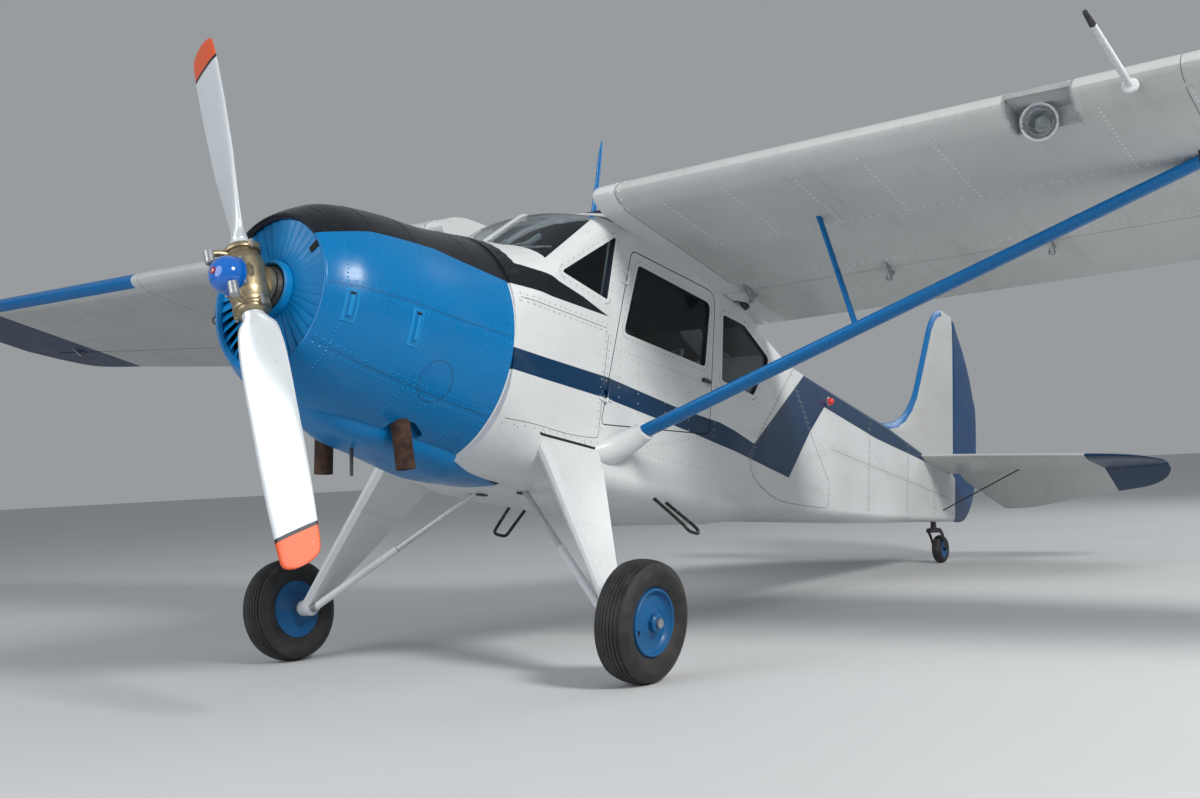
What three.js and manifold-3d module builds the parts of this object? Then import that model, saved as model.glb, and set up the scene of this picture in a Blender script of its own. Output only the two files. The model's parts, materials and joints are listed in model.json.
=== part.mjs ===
// A high-wing utility aircraft with a radial engine and a tail wheel, parked on its gear.
// Millimetres. Inside the airframe group, x is forward along the thrust line, y is to port,
// z is up, and the origin is the centre of the propeller hub. The group is then tilted
// nose-up and lifted so that the three tyres stand on z = 0.
import * as THREE from 'three';
import { mergeVertices } from 'three/addons/utils/BufferGeometryUtils.js';
import Module from 'manifold-3d';

const wasm = await Module();
wasm.setup();

// Driving dimensions
const NOSE_UP = THREE.MathUtils.degToRad(9.96);
const HUB_HEIGHT = 1884;
const ORIGIN_SHIFT = 4270.3;
const TOUCH = 0.3;
const RUNNING = 6;
const WALL = 40;
const PANE = 6;
const PANE_INSET = 12;

const COLOURS = {
  white: 0xdfe3e6,
  wing: 0xc9cccb,
  blue: 0x1583d6,
  darkBlue: 0x0b4f8f,
  metal: 0xb9bcbe,
  bronze: 0x8c8468,
  steel: 0x6b6f73,
  rust: 0x4a332a,
  glass: 0x2b3138,
  tyre: 0x17181a,
  black: 0x141414,
  fabric: 0x4b4f55,
};

// Fuselage sections: x, half width, lowest z, highest z,
// then the width and rise of the lower corner and of the upper corner.
const HULL = [
  [-1165, 576, -664, 555, 500, 490, 575, 560],
  [-1440, 566, -681, 572, 300, 205, 565, 250],
  [-1620, 563, -684, 718, 250, 150, 562, 226],
  [-1810, 560, -705, 872, 200, 120, 559, 200],
  [-2200, 557, -705, 984, 200, 120, 540, 240],
  [-3300, 550, -705, 872, 200, 120, 500, 190],
  [-3650, 514, -640, 622, 180, 100, 430, 70],
  [-4150, 462, -575, 500, 150, 90, 330, 60],
  [-6200, 247, -362, 462, 100, 70, 200, 90],
  [-8100, 55, -130, 300, 40, 40, 54, 50],
];
const FIREWALL_X = -1165;
const FIREWALL_THICKNESS = 30;
const BULKHEAD_X = -3960;
const TAIL_POST_X = -8094;

// Cowl sections: x, outer radius across, rise above and fall below the centre, centre height
const COWL = [
  [-128, 352, 352, 352, -19],
  [-122, 362, 362, 362, -19],
  [-130, 374, 374, 374, -19],
  [-200, 423, 421, 425, -20],
  [-320, 478, 478, 480, -25],
  [-550, 519, 523, 530, -35],
  [-850, 540, 556, 572, -48],
  [-1157, 578, 613, 610, -58],
];
const COWL_WALL = 14;
const COWL_MOUTH = 346;
const SHUTTER_X = [-150, -162];
const SHAFT_RADIUS = 110;

// Wing: the flat underside is a plane through the root's nose
const WING_ROOT_Y = 546;
const WING_NOSE_X = -1750;
const WING_UNDERSIDE_Z = 805;
const WING_SLOPE = 0.0972;
const DIHEDRAL = 0.021;
// Airfoil as fractions of the chord: distance behind the nose, height above the underside plane
const AIRFOIL = [
  [0, 0.035], [0.012, 0.058], [0.05, 0.083], [0.12, 0.104], [0.25, 0.117], [0.4, 0.114],
  [0.55, 0.098], [0.72, 0.068], [0.88, 0.031], [1, 0.004], [1, 0], [0.72, 0], [0.4, 0],
  [0.15, 0], [0.05, 0.006], [0.012, 0.018],
];
// Wing sections: y, nose x, trailing edge x, thickness factor
const WING = [
  [WING_ROOT_Y, -1750, -3650, 1],
  [3500, -1745, -3610, 1],
  [5475, -1725, -3190, 0.95],
  [5960, -1790, -3085, 0.8],
  [6170, -1930, -2850, 0.6],
  [6290, -2190, -2560, 0.5],
];
// Stations of the flap and the aileron, which part at the kink of the hinge line
const KINK_Y = 3500;
const FLAP_SPAN = [558, KINK_Y - 10];
const AILERON_SPAN = [KINK_Y + 10, 5960];
const HINGE_LINE = [[0, -3110], [KINK_Y, -3070], [5960, -2690]];
const FLAP_HINGE_DROP = 45;

// Door, window and panel outlines in side view: x, z, corner radius
const DOOR = [[-1923, -336, 25], [-2120, 668, 50], [-3009, 655, 90], [-3006, -206, 60]];
const DOOR_WINDOW = [[-2086, 195, 30], [-2190, 605, 30], [-2960, 580, 50], [-2930, 185, 30]];
const QUARTER_WINDOW = [[-1505, 384, 12], [-1965, 705, 12], [-1915, 338, 12]];
const REAR_WINDOW = [[-3128, 140, 25], [-3115, 550, 20], [-3390, 545, 60], [-3790, 420, 40], [-3560, 136, 40]];
const DOOR_HINGE_HEIGHTS = [-180, 500];
const DOOR_HINGE_OUT = 14;
// The windscreen's centre post ends where the glass roof begins
const WINDSCREEN = { front: -1447, postRear: -1850, postWidth: 26, rear: -2186, halfWidth: 497 };
const ROOF_REAR_X = -2200;

// Main gear
const AXLE_PARKED = { x: -1199, y: 1199 };
const CAMBER = THREE.MathUtils.degToRad(4.6);
const TYRE_RADIUS = 282;
const TYRE_WIDTH = 185;
const RIM_RADIUS = 158;
const AXLE_RADIUS = 24;
const WHEEL_SIDES = 28;

// Tail wheel, placed in the parked frame
const TAIL_WHEEL = new THREE.Vector3(-7704, 0, 125);
const TAIL_TYRE_RADIUS = 125;
const TAIL_TRAIL = 130;

// Shape helpers

// One closed solid from a list of corner points and triangles, turned outwards if needed
function solidFrom(points, triangles) {
  let volume = 0;
  for (const [a, b, c] of triangles) {
    const [p, q, r] = [points[a], points[b], points[c]];
    volume += p[0] * (q[1] * r[2] - q[2] * r[1]);
    volume += p[1] * (q[2] * r[0] - q[0] * r[2]);
    volume += p[2] * (q[0] * r[1] - q[1] * r[0]);
  }
  const order = volume > 0 ? triangles : triangles.map(([a, b, c]) => [a, c, b]);
  const mesh = new wasm.Mesh({
    numProp: 3,
    vertProperties: new Float32Array(points.flat()),
    triVerts: new Uint32Array(order.flat()),
  });
  return new wasm.Manifold(mesh);
}

// A three.js geometry as a solid
function solidOf(geometry) {
  const bare = geometry.clone();
  bare.deleteAttribute('normal');
  bare.deleteAttribute('uv');
  const merged = mergeVertices(bare, 1e-3);
  const position = merged.attributes.position;
  const points = [];
  for (let i = 0; i < position.count; i += 1) {
    points.push([position.getX(i), position.getY(i), position.getZ(i)]);
  }
  const index = merged.index.array;
  const triangles = [];
  for (let i = 0; i < index.length; i += 3) {
    const [a, b, c] = [index[i], index[i + 1], index[i + 2]];
    if (a !== b && b !== c && a !== c) {
      triangles.push([a, b, c]);
    }
  }
  return solidFrom(points, triangles);
}

// The solid's triangles as a three.js geometry
function geometryOf(solid) {
  const mesh = solid.getMesh();
  const geometry = new THREE.BufferGeometry();
  geometry.setAttribute('position', new THREE.BufferAttribute(new Float32Array(mesh.vertProperties), 3));
  geometry.setIndex(new THREE.BufferAttribute(new Uint32Array(mesh.triVerts), 1));
  const flat = geometry.toNonIndexed();
  flat.computeVertexNormals();
  return flat;
}

// Cap of a ring, seen along the axis that its plane faces most
function capTriangles(ring) {
  const normal = new THREE.Vector3();
  ring.forEach((p, i) => {
    const q = ring[(i + 1) % ring.length];
    normal.x += (p[1] - q[1]) * (p[2] + q[2]);
    normal.y += (p[2] - q[2]) * (p[0] + q[0]);
    normal.z += (p[0] - q[0]) * (p[1] + q[1]);
  });
  const sizes = normal.toArray().map(Math.abs);
  const drop = sizes.indexOf(Math.max(...sizes));
  const [u, v] = [0, 1, 2].filter((k) => k !== drop);
  const outline = ring.map((p) => new THREE.Vector2(p[u], p[v]));
  return THREE.ShapeUtils.triangulateShape(outline, []);
}

// Solid through a list of rings that all have the same number of points
function loft(rings) {
  const count = rings[0].length;
  const points = rings.flat();
  const triangles = [];
  for (let s = 0; s + 1 < rings.length; s += 1) {
    for (let i = 0; i < count; i += 1) {
      const j = (i + 1) % count;
      const [a, b] = [s * count + i, s * count + j];
      triangles.push([a, b, b + count], [a, b + count, a + count]);
    }
  }
  const last = (rings.length - 1) * count;
  const hasEdge = (faces, from, to) => faces.some((face) => {
    const at = face.indexOf(from);
    return at >= 0 && face[(at + 1) % 3] === to;
  });
  const flip = (faces) => faces.map(([a, b, c]) => [a, c, b]);
  const start = capTriangles(rings[0]);
  const end = capTriangles(rings[rings.length - 1]).map((face) => face.map((k) => k + last));
  const startFaces = hasEdge(start, 0, 1) ? flip(start) : start;
  const endFaces = hasEdge(end, last, last + 1) ? end : flip(end);
  return solidFrom(points, [...triangles, ...startFaces, ...endFaces]);
}

// Points of a polygon whose corners [u, v, radius] are rounded
function rounded(corners, steps = 4) {
  const outline = [];
  corners.forEach(([u, v, radius], i) => {
    const here = new THREE.Vector2(u, v);
    const before = corners[(i + corners.length - 1) % corners.length];
    const after = corners[(i + 1) % corners.length];
    const back = new THREE.Vector2(before[0], before[1]).sub(here).normalize();
    const ahead = new THREE.Vector2(after[0], after[1]).sub(here).normalize();
    const half = Math.acos(THREE.MathUtils.clamp(back.dot(ahead), -1, 1)) / 2;
    const reach = radius / Math.tan(half);
    const from = here.clone().addScaledVector(back, reach);
    const to = here.clone().addScaledVector(ahead, reach);
    for (let k = 0; k <= steps; k += 1) {
      const t = k / steps;
      const a = from.clone().lerp(here, t);
      const b = here.clone().lerp(to, t);
      const point = a.lerp(b, t);
      outline.push([point.x, point.y]);
    }
  });
  return outline;
}

// Polygon [u, v] moved outwards by a distance
function grown(outline, distance) {
  const area = outline.reduce((sum, [u, v], i) => {
    const [s, t] = outline[(i + 1) % outline.length];
    return sum + u * t - s * v;
  }, 0);
  const turn = Math.sign(area);
  return outline.map(([u, v], i) => {
    const [pu, pv] = outline[(i + outline.length - 1) % outline.length];
    const [nu, nv] = outline[(i + 1) % outline.length];
    const first = new THREE.Vector2(v - pv, pu - u).normalize().multiplyScalar(turn);
    const second = new THREE.Vector2(nv - v, u - nu).normalize().multiplyScalar(turn);
    const out = first.clone().add(second);
    const scale = distance / Math.max(0.2, out.length() * out.length() / 2);
    return [u + out.x * scale, v + out.y * scale];
  });
}

// Side-view outline [x, z] as a slab from one y to another
function slabY(outline, fromY, toY) {
  const ring = (y) => outline.map(([x, z]) => [x, y, z]);
  return loft([ring(fromY), ring(toY)]);
}

// Plan-view outline [x, y] as a slab from one z to another
function slabZ(outline, fromZ, toZ) {
  const ring = (z) => outline.map(([x, y]) => [x, y, z]);
  return loft([ring(fromZ), ring(toZ)]);
}

// Box between two corners
function block(low, high) {
  const outline = [[low[0], low[2]], [high[0], low[2]], [high[0], high[2]], [low[0], high[2]]];
  return slabY(outline, low[1], high[1]);
}

// Round bar between two points
function bar(from, to, fromRadius, toRadius = fromRadius, sides = 16, flatness = 1) {
  const a = new THREE.Vector3(...from);
  const b = new THREE.Vector3(...to);
  const along = b.clone().sub(a).normalize();
  const side = Math.abs(along.x) > 0.9 ? new THREE.Vector3(0, 0, 1) : new THREE.Vector3(1, 0, 0);
  const u = side.clone().addScaledVector(along, -side.dot(along)).normalize();
  const v = along.clone().cross(u);
  const ring = (centre, radius) => Array.from({ length: sides }, (_, i) => {
    const angle = (i / sides) * Math.PI * 2;
    const point = centre.clone();
    point.addScaledVector(u, Math.cos(angle) * radius);
    point.addScaledVector(v, Math.sin(angle) * radius * flatness);
    return point.toArray();
  });
  return loft([ring(a, fromRadius), ring(b, toRadius)]);
}

// Turned solid from a profile [radius, height], its axis along the given direction
function turned(profile, centre, direction, segments = 32) {
  const points = profile.map(([radius, height]) => new THREE.Vector2(radius, height));
  const geometry = new THREE.LatheGeometry(points, segments);
  const up = new THREE.Vector3(0, 1, 0);
  geometry.applyQuaternion(new THREE.Quaternion().setFromUnitVectors(up, direction.clone().normalize()));
  geometry.translate(centre.x, centre.y, centre.z);
  return solidOf(geometry);
}

// Mirror of a solid in the plane of symmetry
function mirrored(solid) {
  return solid.mirror([0, 1, 0]);
}

// A solid joined with its mirror
function symmetric(solid) {
  return solid.add(mirrored(solid));
}

// Body-frame point of a point given in the parked frame
function fromParked(x, y, z) {
  const up = z - HUB_HEIGHT;
  const [c, s] = [Math.cos(NOSE_UP), Math.sin(NOSE_UP)];
  return new THREE.Vector3(x * c + up * s, y, -x * s + up * c);
}
const PARKED_UP = new THREE.Vector3(Math.sin(NOSE_UP), 0, Math.cos(NOSE_UP));
const PARKED_FORWARD = new THREE.Vector3(Math.cos(NOSE_UP), 0, -Math.sin(NOSE_UP));

// Fuselage sections

const CORNER_STEPS = 4;

// Closed ring of a section: a box with elliptical corners
function hullRing([x, width, low, high, cornerLow, riseLow, cornerHigh, riseHigh]) {
  const ring = [];
  const corners = [
    [1, low + riseLow, cornerLow, riseLow, -90],
    [1, high - riseHigh, cornerHigh, riseHigh, 0],
    [-1, high - riseHigh, cornerHigh, riseHigh, 90],
    [-1, low + riseLow, cornerLow, riseLow, 180],
  ];
  for (const [side, centreZ, acrossRadius, riseRadius, start] of corners) {
    for (let k = 0; k <= CORNER_STEPS; k += 1) {
      const angle = THREE.MathUtils.degToRad(start + (90 * k) / CORNER_STEPS);
      const y = side * (width - acrossRadius) + acrossRadius * Math.cos(angle);
      ring.push([x, y, centreZ + riseRadius * Math.sin(angle)]);
    }
  }
  return ring;
}

// Section at any x, by straight lines between the table's rows
function hullAt(x) {
  const next = HULL.slice(1, -1).findIndex((row) => row[0] <= x);
  const [front, rear] = next < 0 ? HULL.slice(-2) : [HULL[next], HULL[next + 1]];
  const t = (x - front[0]) / (rear[0] - front[0]);
  return front.map((value, k) => value + (rear[k] - value) * t);
}

// The same section, moved inwards all round
function inset(row, depth) {
  const [x, width, low, high, cornerLow, riseLow, cornerHigh, riseHigh] = row;
  const thinner = (value) => Math.max(value - depth, 8);
  return [
    x, width - depth, low + depth, high - depth,
    Math.min(thinner(cornerLow), width - depth - 1), thinner(riseLow),
    Math.min(thinner(cornerHigh), width - depth - 1), thinner(riseHigh),
  ];
}

// Fuselage loft from one x to another, moved inwards by a depth
function hull(fromX, toX, depth = 0) {
  const between = HULL.map((row) => row[0]).filter((x) => x < fromX && x > toX);
  const places = [fromX, ...between, toX];
  return loft(places.map((x) => hullRing(inset(hullAt(x), depth))));
}

// Wing sections

function undersideZ(x, y) {
  return WING_UNDERSIDE_Z + DIHEDRAL * (Math.abs(y) - WING_ROOT_Y) + WING_SLOPE * (x - WING_NOSE_X);
}

// Row of the wing table at any y
function wingAt(y) {
  const next = Math.max(1, WING.findIndex((row) => row[0] >= y));
  const [inner, outer] = [WING[next - 1], WING[next]];
  const t = (y - inner[0]) / (outer[0] - inner[0]);
  return inner.map((value, k) => value + (outer[k] - value) * t);
}

// Airfoil ring at a y, grown by a margin, for the table row given
function wingRing(y, row, margin = 0) {
  const [, nose, tail, thickness] = row;
  const chord = nose - tail;
  return AIRFOIL.map(([back, height]) => {
    const x = nose - back * chord;
    const spread = height > 0.03 ? margin : -margin;
    const forward = back === 0 ? margin : 0;
    const behind = back === 1 ? margin : 0;
    return [x + forward - behind, y, undersideZ(x, y) + height * chord * thickness + spread];
  });
}

// Hinge line's x at any y
function hingeX(y) {
  const next = Math.max(1, HINGE_LINE.findIndex((row) => row[0] >= y));
  const [inner, outer] = [HINGE_LINE[next - 1], HINGE_LINE[next]];
  return inner[1] + ((outer[1] - inner[1]) * (y - inner[0])) / (outer[0] - inner[0]);
}

// Hinges: a plate on the fixed piece whose round end the moving piece straddles

const LUG = { thickness: 12, radius: 18, slot: 8 };

// Local frame: origin, forward (towards the fixed piece) and the hinge axis
function placed(solid, origin, forward, axis) {
  const z = axis.clone().normalize();
  const x = forward.clone().addScaledVector(z, -forward.dot(z)).normalize();
  const y = z.clone().cross(x);
  const m = new THREE.Matrix4().makeBasis(x, y, z).setPosition(origin);
  return solid.transform(m.elements);
}

// Returns the plate to join to the fixed piece and the slot to cut in the moving piece,
// whose sides are a touch away from the plate's flat sides
function hingeLug(origin, forward, axis, reach) {
  const half = LUG.thickness / 2;
  const plate = block([0, -LUG.radius, -half], [reach, LUG.radius, half])
    .add(turned([[0, -half], [LUG.radius, -half], [LUG.radius, half], [0, half]],
      new THREE.Vector3(), new THREE.Vector3(0, 0, 1), 20));
  const high = half + TOUCH;
  const wide = LUG.radius + LUG.slot;
  const slot = block([0, -400, -high], [reach + 60, 400, high])
    .add(turned([[0, -high], [wide, -high], [wide, high], [0, high]],
      new THREE.Vector3(), new THREE.Vector3(0, 0, 1), 20));
  return {
    plate: placed(plate, origin, forward, axis),
    slot: placed(slot, origin, forward, axis),
  };
}

// Scene graph

const root = new THREE.Group();
const airframe = new THREE.Group();
airframe.rotation.y = -NOSE_UP;
airframe.position.set(ORIGIN_SHIFT, 0, HUB_HEIGHT);
root.add(airframe);

function add(name, solid, colour, roughness = 0.5, metalness = 0) {
  const material = new THREE.MeshStandardMaterial({ color: COLOURS[colour], roughness, metalness });
  const mesh = new THREE.Mesh(geometryOf(solid), material);
  mesh.name = name;
  airframe.add(mesh);
}

// Adds a port piece and its starboard mirror
function addPair(name, solid, ...look) {
  add(`${name}_left`, solid, ...look);
  add(`${name}_right`, mirrored(solid), ...look);
}

// Cowl, engine and belly

function cowlRing([x, across, rise, fall, centre], depth = 0) {
  const count = 24;
  return Array.from({ length: count }, (_, i) => {
    const angle = (i / count) * Math.PI * 2;
    const s = Math.sin(angle);
    const tall = s > 0 ? rise : fall;
    return [x, Math.cos(angle) * (across - depth), centre + s * (tall - depth)];
  });
}

// Outside of the cowl, moved inwards by a depth all round and at its rear
function cowlSolid(depth = 0) {
  const [rearX, ...rear] = COWL[COWL.length - 1];
  const rows = [...COWL.slice(1, -1), [rearX + depth, ...rear]];
  return loft(rows.map((row) => cowlRing(row, depth)));
}

function cowlShell() {
  const inner = [
    cowlRing([-100, COWL_MOUTH, COWL_MOUTH, COWL_MOUTH, -19]),
    cowlRing([-178, COWL_MOUTH, COWL_MOUTH, COWL_MOUTH, -19]),
    ...COWL.slice(3).map((row) => cowlRing(row, COWL_WALL)),
    cowlRing([-1200, 578, 613, 610, -58], COWL_WALL),
  ];
  return cowlSolid().subtract(loft(inner));
}

function shutterDisc() {
  const [front, back] = SHUTTER_X;
  const rim = COWL_MOUTH - TOUCH;
  const hole = SHAFT_RADIUS + TOUCH;
  const disc = loft([
    cowlRing([front, rim, rim, rim, -19]),
    cowlRing([back, rim, rim, rim, -19]),
  ]);
  const ring = bar([-118, 0, 0], [-158, 0, 0], 132, 132, 24);
  return disc.add(ring).subtract(bar([-100, 0, 0], [-200, 0, 0], hole, hole, 24));
}

function engineBlock() {
  const forward = new THREE.Vector3(-1, 0, 0);
  const profile = [
    [0, 100 + TOUCH], [SHAFT_RADIUS - 20, 100 + TOUCH], [SHAFT_RADIUS, 130], [SHAFT_RADIUS, 200],
    [220, 360], [440, 450], [440, 780], [300, 860], [300, -FIREWALL_X - TOUCH], [0, -FIREWALL_X - TOUCH],
  ];
  return turned(profile, new THREE.Vector3(0, 0, 0), forward, 24);
}

// Lower fairing of the cowl, running back under the nose
const BELLY = [
  [-330, 100, -400, -506],
  [-560, 180, -450, -612],
  [-850, 230, -480, -655],
  [-1157, 260, -500, -706],
  [-1300, 258, -500, -712],
  [-1600, 235, -560, -698],
];
const BELLY_FULLNESS = 0.6;
const BELLY_MOUTH = { reach: 60, edge: 8 };

// Section with full lower corners and a flat top, moved inwards by an edge
function bellyRing([x, across, high, low], edge = 0) {
  const half = 8;
  return Array.from({ length: 2 * half }, (_, i) => {
    const angle = (i / (2 * half)) * Math.PI * 2;
    const [c, s] = [Math.cos(angle), Math.sin(angle)];
    const full = (value) => Math.sign(value) * Math.abs(value) ** BELLY_FULLNESS;
    return [x, (across - edge) * full(c), s > 0 ? high : high + (high - low - edge) * full(s)];
  });
}

// The fairing ends in an open mouth for the cooling air
function bellyFairing() {
  const last = BELLY[BELLY.length - 1];
  const [, ...size] = last;
  const { reach, edge } = BELLY_MOUTH;
  const mouth = loft([bellyRing([last[0] + reach, ...size], edge), bellyRing([last[0] - reach, ...size], edge)]);
  return loft(BELLY.map((row) => bellyRing(row)))
    .subtract(mouth)
    .subtract(cowlSolid(-TOUCH))
    .subtract(hull(FIREWALL_X + 8, -2200, -TOUCH));
}

function exhaustPipe() {
  const outer = bar([-736, 249, -420], [-797, 281, -735], 46, 46, 14);
  const bore = bar([-748, 255.5, -483], [-798, 281.5, -740], 38, 38, 14);
  return outer.subtract(symmetric(cowlSolid(-TOUCH))).subtract(bore);
}

// Propeller

const BLADE_LEAN = THREE.MathUtils.degToRad(-23.1);
// Blade sections: distance out, chord, thickness, pitch in degrees
const BLADE = [
  [178, 100, 100, 38], [204, 116, 90, 37], [240, 170, 66, 35], [300, 194, 52, 31], [400, 213, 42, 27],
  [650, 229, 30, 18], [950, 234, 22, 14], [1200, 221, 16, 11.7], [1300, 209, 13, 11.7],
  [1335, 192, 11, 11.7], [1354, 140, 9, 11.7], [1366, 70, 7, 11.7],
];
// The blade's middle lies a little to one side of its root
const BLADE_OFFSET = -9;

function propellerBlade() {
  const rings = BLADE.map(([out, chord, thick, pitch]) => {
    const turn = THREE.MathUtils.degToRad(pitch);
    const round = thick / chord > 0.9;
    return Array.from({ length: 14 }, (_, i) => {
      const angle = (i / 14) * Math.PI * 2;
      const along = Math.cos(angle) * chord / 2 + (round ? 0 : BLADE_OFFSET);
      const across = Math.sin(angle) * thick / 2 * (round ? 1 : 1 + 0.25 * Math.cos(angle));
      const x = along * Math.sin(turn) + across * Math.cos(turn);
      const y = along * Math.cos(turn) - across * Math.sin(turn);
      return [x, y, out];
    });
  });
  return loft(rings);
}

function propellerHub() {
  const axis = new THREE.Vector3(0, 0, 1);
  const centre = new THREE.Vector3(0, 0, 0);
  const barrel = turned([
    [0, -178 + TOUCH], [66, -178 + TOUCH], [74, -160], [74, -120], [88, -95], [88, 95], [74, 120],
    [74, 160], [66, 178 - TOUCH], [0, 178 - TOUCH],
  ], centre, axis, 16);
  const flange = bar([-100, 0, 0], [40, 0, 0], 92, 88, 16);
  const dome = turned([[0, 0], [70, 0], [85, 30], [84, 60], [70, 92], [44, 116], [0, 127]],
    new THREE.Vector3(60, 0, 0), new THREE.Vector3(1, 0, 0), 16);
  const weight = [138, -56];
  const arms = [1, -1].map((side) => bar([30, -side * 20, side * 128], [weight[0], side * weight[1], side * 134], 20, 15, 8)
    .add(bar([weight[0], side * weight[1], side * 80], [weight[0], side * weight[1], side * 148], 23, 23, 12)));
  return barrel.add(flange).add(dome).add(arms[0]).add(arms[1]);
}

function addPropeller() {
  const spin = (solid, half) => solid.rotate([THREE.MathUtils.radToDeg(-BLADE_LEAN) + half, 0, 0]);
  add('propeller_hub', spin(propellerHub(), 0), 'bronze', 0.4, 0.8);
  add('blade_upper', spin(propellerBlade(), 0), 'metal', 0.35, 0.8);
  add('blade_lower', spin(propellerBlade(), 180), 'metal', 0.35, 0.8);
}

// Cabin

const FAR = 1000;

// Front edge line of the door at a height, moved forward by a distance
function doorFrontX(z, forward = 0) {
  const [low, high] = DOOR;
  return low[0] + ((high[0] - low[0]) * (z - low[1])) / (high[1] - low[1]) + forward;
}

const SILL = { frontX: -1405, frontZ: 368, rearZ: 296 };
// The door's front corner dips as it opens, because its hinge line leans back
const DOOR_DIP = 10;

// Side-view outlines of the panels that the cabin shell is split into
function cabinPanels() {
  const post = (z) => doorFrontX(z, RUNNING);
  const doorTop = DOOR[1][1];
  const frontLow = DOOR[0][1] - RUNNING - DOOR_DIP;
  const rearLow = DOOR[3][1] - RUNNING;
  const doorRearX = DOOR[3][0] - RUNNING;
  const breakX = post(frontLow);
  const midX = (DOOR[0][0] + DOOR[3][0]) / 2;
  return {
    nose: [
      [FIREWALL_X + 100, -FAR], [breakX, -FAR], [breakX, frontLow], [post(SILL.rearZ), SILL.rearZ],
      [SILL.frontX, SILL.frontZ], [SILL.frontX, FAR], [FIREWALL_X + 100, FAR],
    ],
    screen: [
      [SILL.frontX - TOUCH, SILL.frontZ + TOUCH], [post(SILL.rearZ), SILL.rearZ + TOUCH],
      [post(FAR), FAR], [SILL.frontX - TOUCH, FAR],
    ],
    side: [
      [midX, 0], [midX, 300], [doorFrontX(300), 300], [doorFrontX(doorTop), doorTop],
      [post(doorTop) - TOUCH, doorTop], [post(FAR) - TOUCH, FAR], [BULKHEAD_X, FAR],
      [BULKHEAD_X, rearLow], [doorRearX, rearLow],
    ],
    floor: [
      [breakX - TOUCH, frontLow - TOUCH], [breakX - TOUCH, -FAR], [BULKHEAD_X, -FAR],
      [BULKHEAD_X, rearLow - TOUCH], [doorRearX, rearLow - TOUCH],
    ],
  };
}

function wingCentre(margin = 0) {
  const row = wingAt(WING_ROOT_Y);
  const half = WING_ROOT_Y - TOUCH + margin;
  const whole = loft([wingRing(-half, row, margin), wingRing(half, row, margin)]);
  return whole.subtract(block([ROOF_REAR_X - TOUCH + margin, -FAR, 0], [0, FAR, FAR + 200]));
}

// Everything above the wing's underside: over the cabin behind the glass roof, and beside the roof
function aboveWing() {
  const z = (x) => undersideZ(x, WING_ROOT_Y) - TOUCH;
  const space = (front, rear, fromY, toY) => slabY(
    [[front, z(front)], [rear, z(rear)], [rear, FAR + 200], [front, FAR + 200]], fromY, toY,
  );
  const beside = space(WING_NOSE_X + 20, ROOF_REAR_X - 1, WING_ROOT_Y - TOUCH, FAR);
  return space(ROOF_REAR_X, -3650, -FAR, FAR).add(symmetric(beside));
}

function cabinShell() {
  const inner = hull(FIREWALL_X - FIREWALL_THICKNESS, BULKHEAD_X - 20, WALL);
  return hull(FIREWALL_X, BULKHEAD_X, 0).subtract(inner).subtract(wingCentre(TOUCH)).subtract(aboveWing());
}

function glassShell() {
  const skin = hull(FIREWALL_X - 20, BULKHEAD_X + 20, PANE_INSET);
  const inner = hull(FIREWALL_X - 10, BULKHEAD_X + 10, PANE_INSET + PANE);
  return skin.subtract(inner).subtract(wingCentre(TOUCH)).subtract(aboveWing());
}

function sideSlab(corners, growth = 0) {
  const outline = rounded(corners);
  return slabY(growth ? grown(outline, growth) : outline, 250, 700);
}

function windscreenHole(growth = 0) {
  const { front, postRear, postWidth, rear, halfWidth } = WINDSCREEN;
  const half = halfWidth + growth;
  const [ahead, behind] = [front + growth, rear - growth];
  const post = block([postRear + growth, -postWidth / 2 + growth, 0], [0, postWidth / 2 - growth, FAR + 200]);
  return slabZ([[ahead, -half], [ahead, half], [behind, half], [behind, -half]], 380, FAR).subtract(post);
}

// Hinge of a door: knuckles on an axis just outside the skin, with a leaf on each piece
function doorHinge(origin, axis) {
  const [length, radius, leaf] = [40, 8, 55];
  const forward = new THREE.Vector3(1, 0, 0);
  const knuckle = (from, to) => turned([[0, from], [radius, from], [radius, to], [0, to]],
    new THREE.Vector3(), new THREE.Vector3(0, 0, 1), 10);
  const depth = DOOR_HINGE_OUT + 6;
  const doorSide = knuckle(-length / 2, length / 2)
    .add(block([-leaf, -depth, -length / 2], [-RUNNING, -DOOR_HINGE_OUT + 6, length / 2]))
    .add(block([-2 * RUNNING, -DOOR_HINGE_OUT, -length / 2], [0, 0, length / 2]));
  const end = length / 2 + TOUCH;
  const postPart = (from, to) => knuckle(from, to)
    .add(block([RUNNING, -depth, from], [leaf, -DOOR_HINGE_OUT + 6, to]))
    .add(block([0, -DOOR_HINGE_OUT, from], [2 * RUNNING, 0, to]));
  const postSide = postPart(end, end + length / 2).add(postPart(-end - length / 2, -end));
  return {
    door: placed(doorSide, origin, forward, axis),
    post: placed(postSide, origin, forward, axis),
  };
}

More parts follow.
